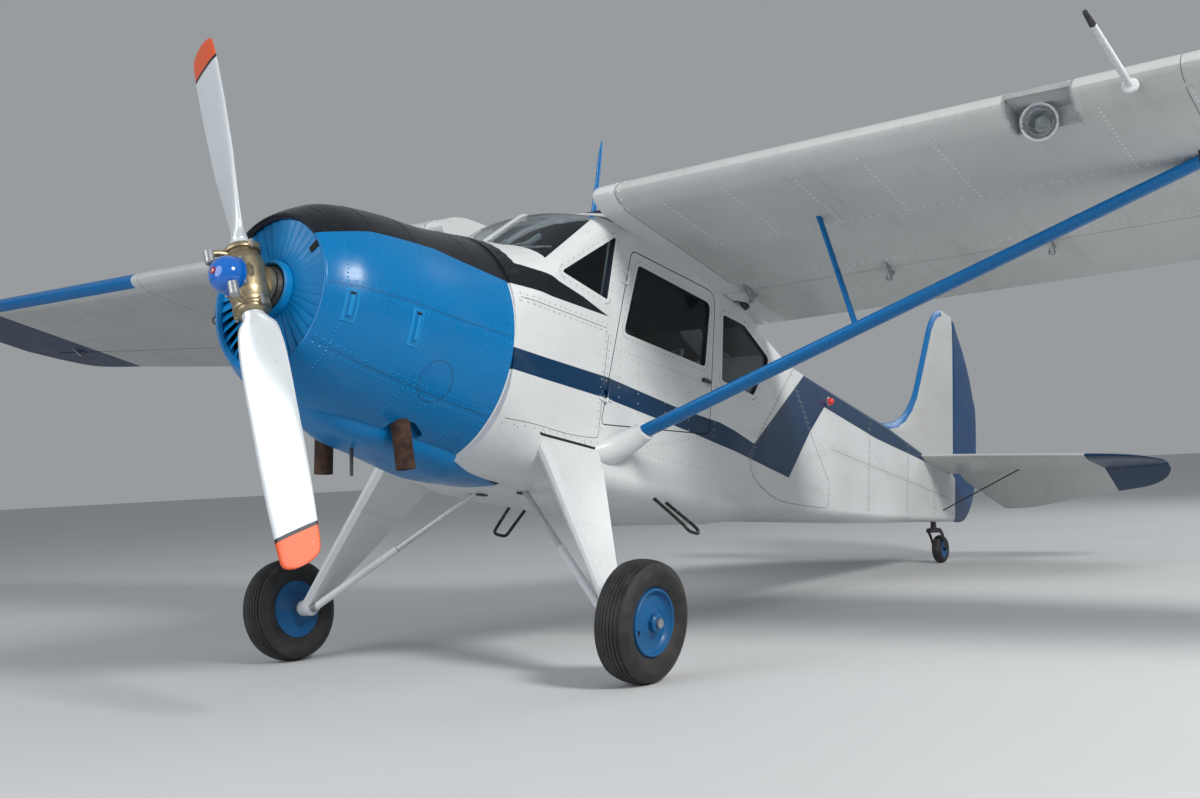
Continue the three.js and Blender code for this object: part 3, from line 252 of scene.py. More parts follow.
def loft(rings, wrap=False, caps=True):
    count = len(rings[0])
    points = [tuple(p) for ring in rings for p in ring]
    faces = []
    for s in range(len(rings) if wrap else len(rings) - 1):
        a = s * count
        b = (s + 1) % len(rings) * count
        faces += [(a + i, a + (i + 1) % count, b + (i + 1) % count, b + i) for i in range(count)]
    if caps and not wrap:
        last = (len(rings) - 1) * count
        faces.append(tuple(reversed(range(count))))
        faces.append(tuple(range(last, last + count)))
    return points, faces


def merged(*parts):
    points, faces = [], []
    for more, quads in parts:
        base = len(points)
        points += more
        faces += [tuple(base + i for i in face) for face in quads]
    return points, faces


def moved(part, matrix):
    return [tuple(matrix @ Vector(p)) for p in part[0]], part[1]


def mirrored(part):
    return [(x, -y, z) for x, y, z in part[0]], [tuple(reversed(face)) for face in part[1]]


def both(part):
    return merged(part, mirrored(part))


def circle(count):
    return [i / count * math.tau for i in range(count)]


def axes(direction):
    """Two unit vectors across a direction, and the direction itself."""
    w = Vector(direction).normalized()
    u = FORWARD
    if abs(u.dot(w)) > 0.9:
        u = UP
    u = (u - w * u.dot(w)).normalized()
    return u, w.cross(u), w


def lathe(profile, centre, direction, segments=48):
    """Turned shape from a profile of (radius, distance along); closed where its ends meet."""
    u, v, w = axes(direction)
    centre = Vector(centre)
    closed = profile[0] == profile[-1]
    rows = profile[:-1] if closed else profile
    rings = [
        [centre + w * h + (u * math.cos(a) + v * math.sin(a)) * r for a in circle(segments)]
        for r, h in rows
    ]
    part = loft(rings, wrap=closed, caps=False)
    if not closed:
        if rows[0][0] > 0:
            part[1].append(tuple(reversed(range(segments))))
        if rows[-1][0] > 0:
            part[1].append(tuple(range((len(rows) - 1) * segments, len(rows) * segments)))
    return part


def even(half, middle=(), closed=True):
    """Profile for lathe whose second half mirrors the first."""
    rows = [*half, *middle, *((radius, -along) for radius, along in reversed(half))]
    return rows + half[:1] if closed else rows


def bar(a, b, start, end=None, sides=20, flatness=1.0):
    """Straight rod with a radius at each end, round or flattened."""
    a, b = Vector(a), Vector(b)
    u, v, _ = axes(b - a)
    return loft([
        [p + u * math.cos(w) * r + v * math.sin(w) * r * flatness for w in circle(sides)]
        for p, r in ((a, start), (b, start if end is None else end))
    ])


def bent(path, bend=0.3, steps=6):
    """The path with its corners rounded."""
    points = [Vector(p) for p in path]
    made = [points[0]]
    for before, here, after in zip(points, points[1:], points[2:]):
        start, end = here.lerp(before, bend), here.lerp(after, bend)
        for k in range(steps + 1):
            t = k / steps
            made.append(start.lerp(here, t).lerp(here.lerp(end, t), t))
    made.append(points[-1])
    return made


def tube(path, radius, sides=12, loop=False):
    """Round tube along a path. The radius is one number or one for each point."""
    points = [Vector(p) for p in path]
    last = len(points) - 1
    rings, u = [], None
    for i, p in enumerate(points):
        ahead = points[(i + 1) % len(points)] if loop or i < last else p
        behind = points[i - 1] if loop or i > 0 else p
        w = (ahead - behind).normalized()
        if u is None:
            u = axes(w)[0]
        u = (u - w * u.dot(w)).normalized()
        v = w.cross(u)
        r = radius[i] if isinstance(radius, (list, tuple)) else radius
        rings.append([p + (u * math.cos(a) + v * math.sin(a)) * r for a in circle(sides)])
    return loft(rings, wrap=loop)


def rounded(corners, steps=6):
    outline = []
    for i, (x, y, radius) in enumerate(corners):
        here = Vector((x, y))
        before = Vector(corners[i - 1][:2])
        after = Vector(corners[(i + 1) % len(corners)][:2])
        back, ahead = (before - here).normalized(), (after - here).normalized()
        reach = radius / math.tan(math.acos(max(-1, min(1, back.dot(ahead)))) / 2)
        start, end = here + back * reach, here + ahead * reach
        for k in range(steps + 1):
            t = k / steps
            outline.append(tuple(start.lerp(here, t).lerp(here.lerp(end, t), t)))
    return outline


def grown(outline, distance):
    """The outline moved outwards."""
    area = sum(a[0] * b[1] - b[0] * a[1] for a, b in zip(outline, outline[1:] + outline[:1]))
    turn = math.copysign(1, area)
    made = []
    for i, (x, y) in enumerate(outline):
        px, py = outline[i - 1]
        nx, ny = outline[(i + 1) % len(outline)]
        first = Vector((y - py, px - x)).normalized() * turn
        second = Vector((ny - y, x - nx)).normalized() * turn
        out = first + second
        scale = distance / max(0.2, out.length_squared / 2)
        made.append((x + out.x * scale, y + out.y * scale))
    return made


def side_view(u, v, w):
    return (u, w, v)


def plan_view(u, v, w):
    return (u, v, w)


def slab(outline, low, high, place=side_view, chamfer=0.0):
    """Plate of an outline between two distances along the third axis."""
    if chamfer:
        inner = grown(outline, -chamfer)
        rows = [(inner, low), (outline, low + chamfer), (outline, high - chamfer), (inner, high)]
    else:
        rows = [(outline, low), (outline, high)]
    return loft([[place(u, v, w) for u, v in ring] for ring, w in rows])


def block(low, high, chamfer=0.0):
    """Box between two corners, with its edges broken."""
    (x0, y0, z0), (x1, y1, z1) = low, high
    corners = [(x0, y0, chamfer), (x1, y0, chamfer), (x1, y1, chamfer), (x0, y1, chamfer)]
    outline = rounded(corners, 2) if chamfer else [c[:2] for c in corners]
    return slab(outline, z0, z1, plan_view, chamfer)


def linked(name, data):
    """New object in the scene."""
    made = bpy.data.objects.new(name, data)
    bpy.context.scene.collection.objects.link(made)
    return made


def as_object(part):
    mesh = bpy.data.meshes.new("scratch")
    mesh.from_pydata(part[0], [], part[1])
    tidy_mesh(mesh)
    return linked("scratch", mesh)


def evaluated(obj):
    """The object's shape with its modifiers."""
    shown = obj.evaluated_get(bpy.context.evaluated_depsgraph_get())
    mesh = shown.to_mesh()
    made = [v.co.copy() for v in mesh.vertices], [tuple(p.vertices) for p in mesh.polygons]
    shown.to_mesh_clear()
    return made


def tidy_mesh(mesh):
    bm = bmesh.new()
    bm.from_mesh(mesh)
    bmesh.ops.remove_doubles(bm, verts=bm.verts, dist=1e-6)
    bmesh.ops.dissolve_degenerate(bm, edges=bm.edges, dist=1e-7)
    bmesh.ops.delete(bm, geom=[v for v in bm.verts if not v.link_faces], context="VERTS")
    bmesh.ops.recalc_face_normals(bm, faces=bm.faces)
    bm.to_mesh(mesh)
    bm.free()


def carved(part, cutters=(), keep=()):
    """The part without its cutters, and only inside each shape to keep."""
    base = as_object(part)
    tools = []
    for how, shapes in (("DIFFERENCE", cutters), ("INTERSECT", keep)):
        for shape in shapes:
            tool = as_object(shape)
            tools.append(tool)
            cut = base.modifiers.new("cut", "BOOLEAN")
            cut.operation = how
            cut.solver = "EXACT"
            cut.object = tool
    made = evaluated(base)
    for scratch in [base, *tools]:
        data = scratch.data
        bpy.data.objects.remove(scratch)
        bpy.data.meshes.remove(data)
    return made


def listed(parts):
    return parts if isinstance(parts, list) else [parts]


def piece(name, body, looks, replaces=(), sharp=35):
    """A piece of the object that rides on a body. looks gives each material's parts."""
    mesh = bpy.data.meshes.new(name)
    parts, marks = [], []
    for index, (material, shapes) in enumerate(looks.items()):
        mesh.materials.append(MATERIALS[material])
        for shape in listed(shapes):
            parts.append(shape)
            marks += [index] * len(shape[1])
    points, faces = merged(*parts)
    mesh.from_pydata([BODY @ Vector(p) for p in points], [], faces)
    mesh.polygons.foreach_set("material_index", marks)
    tidy_mesh(mesh)
    mesh.polygons.foreach_set("use_smooth", [True] * len(mesh.polygons))
    mesh.set_sharp_from_angle(angle=math.radians(sharp))
    made = linked(name, mesh)
    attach(made, body)
    if replaces:
        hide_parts(*replaces)
    return made


def pair(name, body, looks, replaces=(), sharp=35):
    """A port piece and its starboard mirror. Body and node names get their side."""
    for side, turn in (("left", lambda part: part), ("right", mirrored)):
        sided = {look: [turn(part) for part in listed(parts)] for look, parts in looks.items()}
        rides = body.replace("SIDE", side)
        stands = [node.replace("SIDE", side) for node in replaces]
        piece(f"{name}_{side}", rides, sided, stands, sharp)


def studs(spots, radius=0.004, height=0.0016, sides=6):
    """Low round heads, one at each (point, normal)."""
    points, faces = [], []
    for p, n in spots:
        u, v, w = axes(n)
        base = len(points)
        for r, h in ((1.0, -0.5), (1.0, 0.2), (0.62, 0.85)):
            points += [
                tuple(p + (u * math.cos(a) + v * math.sin(a)) * radius * r + w * height * h)
                for a in circle(sides)
            ]
        points.append(tuple(p + w * height))
        for i in range(sides):
            j = (i + 1) % sides
            for k in (0, sides):
                faces.append((base + k + i, base + k + j, base + k + sides + j, base + k + sides + i))
            faces.append((base + 2 * sides + i, base + 2 * sides + j, base + 3 * sides))
        faces.append(tuple(base + i for i in reversed(range(sides))))
    return points, faces


def strip(spots, width, height=0.0006, sink=0.001, loop=False):
    """Narrow flat strip along (point, normal) places on a surface."""
    rings = []
    for i, (p, n) in enumerate(spots):
        ahead = spots[(i + 1) % len(spots)][0] if loop or i + 1 < len(spots) else p
        behind = spots[i - 1][0] if loop or i > 0 else p
        across = (ahead - behind).cross(n).normalized() * (width / 2)
        rings.append([
            p - across - n * sink, p + across - n * sink,
            p + across * 0.8 + n * height, p - across * 0.8 + n * height,
        ])
    return loft(rings, wrap=loop)


def walk(path, step, loop=False):
    """Places along a path of points, about a step apart."""
    points = [Vector(p) for p in path]
    if loop:
        points.append(points[0])
    made = []
    for a, b in zip(points, points[1:]):
        count = max(1, round((b - a).length / step))
        made += [a.lerp(b, k / count) for k in range(count)]
    if not loop:
        made.append(points[-1])
    return made


# Fuselage surface


def hull_row(x, depth=0.0):
    _, width, low, high, corner_low, rise_low, corner_high, rise_high = row_at(HULL, x)
    if depth:
        width, low, high = width - depth, low + depth, high - depth
        most = width - 0.001
        corner_low = min(max(corner_low - depth, 0.008), most)
        rise_low = max(rise_low - depth, 0.008)
        corner_high = min(max(corner_high - depth, 0.008), most)
        rise_high = max(rise_high - depth, 0.008)
    return width, low, high, corner_low, rise_low, corner_high, rise_high


def hull_ring(x, depth=0.0, steps=14):
    width, low, high, corner_low, rise_low, corner_high, rise_high = hull_row(x, depth)
    corners = [
        (1, low + rise_low, corner_low, rise_low, -90),
        (1, high - rise_high, corner_high, rise_high, 0),
        (-1, high - rise_high, corner_high, rise_high, 90),
        (-1, low + rise_low, corner_low, rise_low, 180),
    ]
    ring = []
    for side, centre, across, rise, start in corners:
        for k in range(steps + 1):
            a = math.radians(start + 90 * k / steps)
            y = side * (width - across) + across * math.cos(a)
            ring.append(Vector((x, y, centre + rise * math.sin(a))))
    return ring


def hull(front, rear, depth=0.0, step=0.12):
    places = [front]
    stops = [row[0] for row in HULL if rear < row[0] < front] + [rear]
    for stop in stops:
        count = max(1, round((places[-1] - stop) / step))
        start = places[-1]
        places += [lerp(start, stop, (k + 1) / count) for k in range(count)]
    return loft([hull_ring(x, depth) for x in places])


def hull_y(x, z, depth=0.0):
    width, low, high, corner_low, rise_low, corner_high, rise_high = hull_row(x, depth)
    if z > high - rise_high:
        up = min(1, (z - high + rise_high) / rise_high)
        return width - corner_high + corner_high * math.sqrt(1 - up * up)
    if z < low + rise_low:
        down = min(1, (low + rise_low - z) / rise_low)
        return width - corner_low + corner_low * math.sqrt(1 - down * down)
    return width


def buried(point, depth=0.010):
    """Whether a point lies deeper than this under the fuselage's surface."""
    x, y, z = point
    _, low, high = hull_row(x, depth)[:3]
    return low < z < high and abs(y) < hull_y(x, z, depth)


def parted(part, test):
    """The part's faces whose centres pass a test, and the others."""
    points, faces = part
    chosen, others = [], []
    for face in faces:
        centre = sum((Vector(points[i]) for i in face), Vector()) / len(face)
        (chosen if test(centre) else others).append(face)
    return (points, chosen), (points, others)


def hull_spot(x, z):
    """Point and outward normal on the fuselage's port side."""
    e = 0.003
    slope_x = (hull_y(x + e, z) - hull_y(x - e, z)) / (2 * e)
    slope_z = (hull_y(x, z + e) - hull_y(x, z - e)) / (2 * e)
    return Vector((x, hull_y(x, z), z)), Vector((-slope_x, 1, -slope_z)).normalized()


def hull_line(path, step=0.05, loop=False):
    return [hull_spot(x, z) for x, z in walk(path, step, loop)]


# Wing surface


def curve_at(rows, value):
    return row_at(rows, value)[1]


UPPER = smooth_rows(UPPER_FOIL, 6)
LOWER = smooth_rows(LOWER_FOIL, 6)
WING_ROWS = WING[:3] + [tuple(row) for row in smooth_rows(WING[2:], 6)[1:]]


def underside(x, y):
    return ROOT_UNDERSIDE + DIHEDRAL * (abs(y) - WING_ROOT_Y) + INCIDENCE * (x - WING_NOSE_X)


def hinge_x(y):
    return curve_at(HINGE_LINE, y)


def wing_section(y, front=None, rear=None, thick=None, margin=0.0, steps=18):
    """Closed section at a station, from one x back to another."""
    _, nose, tail, factor = row_at(WING_ROWS, max(WING_ROOT_Y, min(TIP_Y, abs(y))))
    chord = nose - tail
    start = 0 if front is None else (nose - front) / chord
    end = 1 if rear is None else (nose - rear) / chord

    def point(t, rows, up):
        x = nose - t * chord
        height = curve_at(rows, min(1, max(0, t))) * chord * (factor if thick is None else thick)
        return Vector((x, y, underside(x, y) + height + up * margin))

    share = [(k / steps) ** (2 if start == 0 else 1) for k in range(steps + 1)]
    upper = [point(lerp(start, end, s), UPPER, 1) for s in reversed(share)]
    lower = [point(lerp(start, end, s), LOWER, -1) for s in share]
    return upper + (lower[1:] if start == 0 else lower)


def wing_spot(x, y):
    """Point and normal on the flat underside."""
    return Vector((x, y, underside(x, y))), UNDERSIDE_NORMAL


def wing_top(x, y):
    """Point and normal on the upper surface."""
    _, nose, tail, factor = row_at(WING_ROWS, abs(y))
    chord = nose - tail

    def at(x):
        return Vector((x, y, underside(x, y) + curve_at(UPPER, (nose - x) / chord) * chord * factor))
    slope = at(x + 0.004) - at(x - 0.004)
    return at(x), Vector((-slope.z, 0, slope.x)).normalized()


def round_wing(y, rear):
    """Places round the leading edge, from the upper surface to the lower one."""
    ring = [p for p in wing_section(y, steps=30) if p.x > rear]
    centre = sum(ring, Vector()) / len(ring)
    made = []
    for i, p in enumerate(ring):
        along = (ring[min(i + 1, len(ring) - 1)] - ring[max(i - 1, 0)]).normalized()
        normal = Vector((-along.z, 0, along.x))
        made.append((p, normal if normal.dot(p - centre) > 0 else -normal))
    return made


def span_places(low, high, step=0.25):
    stops = [low] + [row[0] for row in WING_ROWS if low < row[0] < high] + [high]
    places = []
    for a, b in zip(stops, stops[1:]):
        count = max(1, round((b - a) / step))
        places += [lerp(a, b, k / count) for k in range(count)]
    return places + [high]


# Cowl surface

COWL_ROWS = smooth_rows(COWL, 6)


def cowl_point(row, angle, depth=0.0):
    """Point on the cowl's section, at an angle up from port and a depth under the outside."""
    x, across, rise, fall, centre = row
    s = math.sin(angle)
    tall = rise if s > 0 else fall
    return Vector((x, math.cos(angle) * (across - depth), centre + s * (tall - depth)))


def cowl_spot(x, angle):
    """Point and outward normal on the cowl."""
    def at(x, a):
        return cowl_point([x, *row_at(COWL_ROWS, x)[1:]], a)
    e = 0.004
    along = at(x + e, angle) - at(x - e, angle)
    round_ = at(x, angle + e) - at(x, angle - e)
    normal = round_.cross(along).normalized()
    spot = at(x, angle)
    inward = normal.dot(spot - Vector((x, 0, COWL_CENTRE))) < 0
    return spot, -normal if inward else normal


def cowl_ring(row, depth=0.0, count=96):
    return [cowl_point(row, a, depth) for a in circle(count)]


def skirt():
    """Edge of the nose's skin, brought out to meet the back of the cowl all round."""
    middle = COWL[-1][4]

    def reach(x, angle, depth):
        low, high = 0.2, 0.9
        for _ in range(24):
            r = (low + high) / 2
            if buried((x, r * math.cos(angle), middle + r * math.sin(angle)), depth):
                low = r
            else:
                high = r
        return Vector((x, low * math.cos(angle), middle + low * math.sin(angle)))
    front, front_in, rear, rear_in = [], [], [], []
    for a in circle(128):
        p, normal = cowl_spot(-1.1576, a)
        lean = math.atan2(p.z - middle, p.y)
        front.append(p - normal * 0.003)
        front_in.append(p - normal * 0.012)
        rear.append(reach(-1.215, lean, 0.0003))
        rear_in.append(reach(-1.215, lean, 0.008))
    return loft([front, rear, rear_in, front_in], wrap=True)


def round_row(x, radius):
    return (x, radius, radius, radius, COWL_CENTRE)


# Materials


# The Mix node's sockets for colours: share, first and second, and its result
MIX_INPUTS, MIX_RESULT = (0, 6, 7), 2


class Look:
    """A procedural material in the aircraft's own coordinates, which stay with moving pieces."""

    def __init__(self, name):
        self.material = bpy.data.materials.new(name)
        self.material.use_nodes = True
        self.tree = self.material.node_tree
        self.shader = self.tree.nodes["Principled BSDF"]
        place = self.node("TexCoord").outputs["Object"]
        mapped = self.node("Mapping", vector_type="TEXTURE")
        self.tree.links.new(place, mapped.inputs["Vector"])
        mapped.inputs["Location"].default_value = HUB
        mapped.inputs["Rotation"].default_value = (0, -NOSE_UP, 0)
        self.place = mapped.outputs["Vector"]
        parts = self.node("SeparateXYZ")
        self.tree.links.new(self.place, parts.inputs[0])
        self.x, self.y, self.z = parts.outputs
        MATERIALS[name] = self.material

    def node(self, kind, **settings):
        made = self.tree.nodes.new("ShaderNode" + kind)
        for key, value in settings.items():
            setattr(made, key, value)
        return made

    def feed(self, socket, value):
        if isinstance(value, bpy.types.NodeSocket):
            self.tree.links.new(value, socket)
        elif isinstance(value, (tuple, list)) and len(value) == 3 and socket.type == "RGBA":
            socket.default_value = (*value, 1)
        else:
            socket.default_value = value

    def calc(self, how, *values, clamp=False):
        made = self.node("Math", operation=how, use_clamp=clamp)
        for socket, value in zip(made.inputs, values):
            self.feed(socket, value)
        return made.outputs[0]

    def mix(self, share, first, second):
        made = self.node("Mix", data_type="RGBA")
        for index, value in zip(MIX_INPUTS, (share, first, second)):
            self.feed(made.inputs[index], value)
        return made.outputs[MIX_RESULT]

    def spread(self, value, low, high, to_low=0.0, to_high=1.0):
        made = self.node("MapRange", clamp=True)
        for socket, item in zip(made.inputs, (value, low, high, to_low, to_high)):
            self.feed(socket, item)
        return made.outputs[0]

    def noise(self, scale, detail=4.0, stretch=None, rough=0.55):
        made = self.node("TexNoise")
        place = self.place
        if stretch:
            scaled = self.node("VectorMath", operation="MULTIPLY")
            self.tree.links.new(place, scaled.inputs[0])
            scaled.inputs[1].default_value = stretch
            place = scaled.outputs[0]
        self.tree.links.new(place, made.inputs["Vector"])
        made.inputs["Scale"].default_value = scale
        made.inputs["Detail"].default_value = detail
        made.inputs["Roughness"].default_value = rough
        return made.outputs[0]

    def edge(self, value, points):
        """A number that follows a value by straight lines through points."""
        lows = [min(p[k] for p in points) for k in (0, 1)]
        highs = [max(p[k] for p in points) for k in (0, 1)]
        share = self.spread(value, lows[0], highs[0])
        curve = self.node("FloatCurve")
        line = curve.mapping.curves[0]
        for i, (a, b) in enumerate(sorted(points)):
            at = ((a - lows[0]) / (highs[0] - lows[0]), (b - lows[1]) / (highs[1] - lows[1]))
            if i < 2:
                line.points[i].location = at
            else:
                line.points.new(*at)
        for point in line.points:
            point.handle_type = "VECTOR"
        curve.mapping.update()
        self.feed(curve.inputs["Value"], share)
        return self.calc("MULTIPLY_ADD", curve.outputs[0], highs[1] - lows[1], lows[1])

    def above(self, value, limit, soft=0.002):
        """1 where a value is above a limit, with a soft edge."""
        return self.calc("MULTIPLY_ADD", self.calc("SUBTRACT", value, limit), 1 / soft, 0.5, clamp=True)

    def within(self, value, low, high, soft=0.002):
        return self.calc("MINIMUM", self.above(value, low, soft), self.above(high, value, soft))

    def finish(self, colour, rough=0.4, bump=None, **constants):
        self.feed(self.shader.inputs["Base Color"], colour)
        self.feed(self.shader.inputs["Roughness"], rough)
        for key, value in constants.items():
            self.shader.inputs[key.replace("_", " ")].default_value = value
        normal = None
        for height, strength, distance in bump or ():
            made = self.node("Bump")
            made.inputs["Strength"].default_value = strength
            made.inputs["Distance"].default_value = distance
            self.feed(made.inputs["Height"], height)
            if normal is not None:
                self.feed(made.inputs["Normal"], normal)
            normal = made.outputs[0]
        if normal is not None:
            self.feed(self.shader.inputs["Normal"], normal)
        return self.material


MATERIALS = {}

WHITE = (0.62, 0.64, 0.65)
# Grey of the wings and tail: the paint's grey made darker, as painted shade for the wing's shaded underside.
SHADE_DARKENED_GREY = (0.50, 0.515, 0.51)
COWL_BLUE = (0.001, 0.150, 0.385)
# Shutter blue: the cowl's blue made lighter, as painted light on the front-facing shutters.
LIT_SHUTTER_BLUE = (0.002, 0.195, 0.48)
STRUT_BLUE = (0.001, 0.130, 0.365)
STRIPE_BLUE = (0.0003, 0.029, 0.082)
RUDDER_BLUE = (0.001, 0.048, 0.150)
DECK_BLACK = (0.006, 0.008, 0.012)


def shade(colour, factor):
    return tuple(c * factor for c in colour)


def painted(name, colour, zones=(), rough=0.3, dirt=0.35, coat=0.08, dents=0.15):
    """Sprayed metal: slight fading, streaks along the airflow, grime and shallow dents."""
    look = Look(name)
    base = look.mix(look.spread(look.noise(1.3, 3), 0.35, 0.65), shade(colour, 0.93), shade(colour, 1.04))
    for zone, tint in zones:
        base = look.mix(zone(look), base, tint)
    streaks = look.spread(look.noise(5, 6, (0.35, 3, 1.6)), 0.56, 0.78)
    specks = look.spread(look.noise(55, 3), 0.62, 0.72)
    soil = look.calc("MAXIMUM", look.calc("MULTIPLY", streaks, 0.5), look.calc("MULTIPLY", specks, 0.5))
    base = look.mix(look.calc("MULTIPLY", soil, dirt), base, (0.16, 0.145, 0.12))
    glare = look.calc("MULTIPLY_ADD", look.noise(9, 5), 0.22, rough - 0.09)
    peel = look.noise(420, 2)
    waves = look.noise(3.2, 2)
    return look.finish(base, look.calc("ADD", glare, look.calc("MULTIPLY", soil, 0.25)),
                       [(waves, dents, 0.02), (peel, 0.035 if dents else 0.002, 0.002)], Coat_Weight=coat,
                       Coat_Roughness=0.12, Specular_IOR_Level=0.24)


STRIPE_TOP = [
    (-1.165, -0.093), (-1.947, -0.079), (-2.651, -0.115), (-3.125, -0.117), (-3.595, -0.168),
    (-4.420, 0.470), (-4.440, 0.9), (-8.3, 0.9),
]
STRIPE_LOW = [
    (-1.155, -0.202), (-1.942, -0.194), (-2.798, -0.231), (-3.134, -0.252), (-3.500, -0.270),
    (-4.167, -0.300), (-4.520, 0.070), (-4.780, 0.296), (-5.890, 0.263), (-7.020, 0.278),
    (-8.3, 0.29),
]
DECK_LOW = [(-1.165, 0.236), (-1.446, 0.233), (-1.934, 0.249), (-1.96, 0.249)]
DECK_TOP = [
    (-1.165, 0.9), (-1.236, 0.9), (-1.249, 0.371), (-1.397, 0.350), (-1.486, 0.327),
    (-1.700, 0.299), (-1.935, 0.250), (-1.96, 0.24),
]


def side_stripe(look):
    top, low = look.edge(look.x, STRIPE_TOP), look.edge(look.x, STRIPE_LOW)
    return look.within(look.z, low, top)


def nose_deck(look):
    top, low = look.edge(look.x, DECK_TOP), look.edge(look.x, DECK_LOW)
    return look.calc("MULTIPLY", look.within(look.z, low, top), look.above(look.x, -1.96))


def cowl_deck(look):
    low = look.edge(look.x, [(-0.120, 0.217), (-0.143, 0.225), (-0.356, 0.277), (-0.740, 0.300),
                             (-1.2, 0.236)])
    return look.above(look.z, low)


def wing_blue_nose(look):
    """The outboard leading edge slat."""
    out = look.calc("ABSOLUTE", look.y)
    return look.calc("MULTIPLY", look.above(out, SLAT_ROOT_Y), look.above(look.x, SLAT_REAR_X))


def wing_root(look):
    return look.above(ROOT_SEAM_Y, look.calc("ABSOLUTE", look.y))


def wing_tips(look):
    return look.above(look.calc("ABSOLUTE", look.y), TIP_PAINT_Y)


def fin_band(look, width=0.055):
    """A strip of one width along the fin's front edge."""
    points = []
    for i, (z, x, _) in enumerate(FIN):
        (z0, x0, _), (z1, x1, _) = FIN[max(0, i - 1)], FIN[min(len(FIN) - 1, i + 1)]
        along = Vector((x1 - x0, z1 - z0)).normalized()
        points.append((z + along.x * width, x - along.y * width))
    return look.above(look.x, look.edge(look.z, points[1:]))


def tail_tips(look):
    return look.above(look.calc("ABSOLUTE", look.y), TAIL_TIP_PAINT_Y)


def blade_out(look):
    """Distance from the hub along the blades."""
    y = look.calc("MULTIPLY", look.y, -math.sin(BLADE_LEAN))
    return look.calc("ABSOLUTE", look.calc("MULTIPLY_ADD", look.z, math.cos(BLADE_LEAN), y))


def metal(name, colour, rough, metallic, grime=0.3, grain=60, bump=0.1):
    look = Look(name)
    spots = look.spread(look.noise(grain, 5), 0.45, 0.7)
    base = look.mix(look.calc("MULTIPLY", spots, grime), colour, shade(colour, 0.35))
    gloss = look.calc("MULTIPLY_ADD", look.noise(grain * 0.6, 4), 0.3, rough - 0.12)
    return look.finish(base, gloss, [(look.noise(grain * 3, 3), bump, 0.002)], Metallic=metallic)


def mottled(name, grain, dark, light, rough, bump=(), band=(), **constants):
    """Two tones in patches. grain and bump begin with the scale and detail of their noise."""
    look = Look(name)
    share = look.noise(*grain)
    if band:
        share = look.spread(share, *band)
    dents = [(look.noise(*bump[:2]), *bump[2:])] if bump else None
    look.finish(look.mix(share, dark, light), rough, dents, **constants)


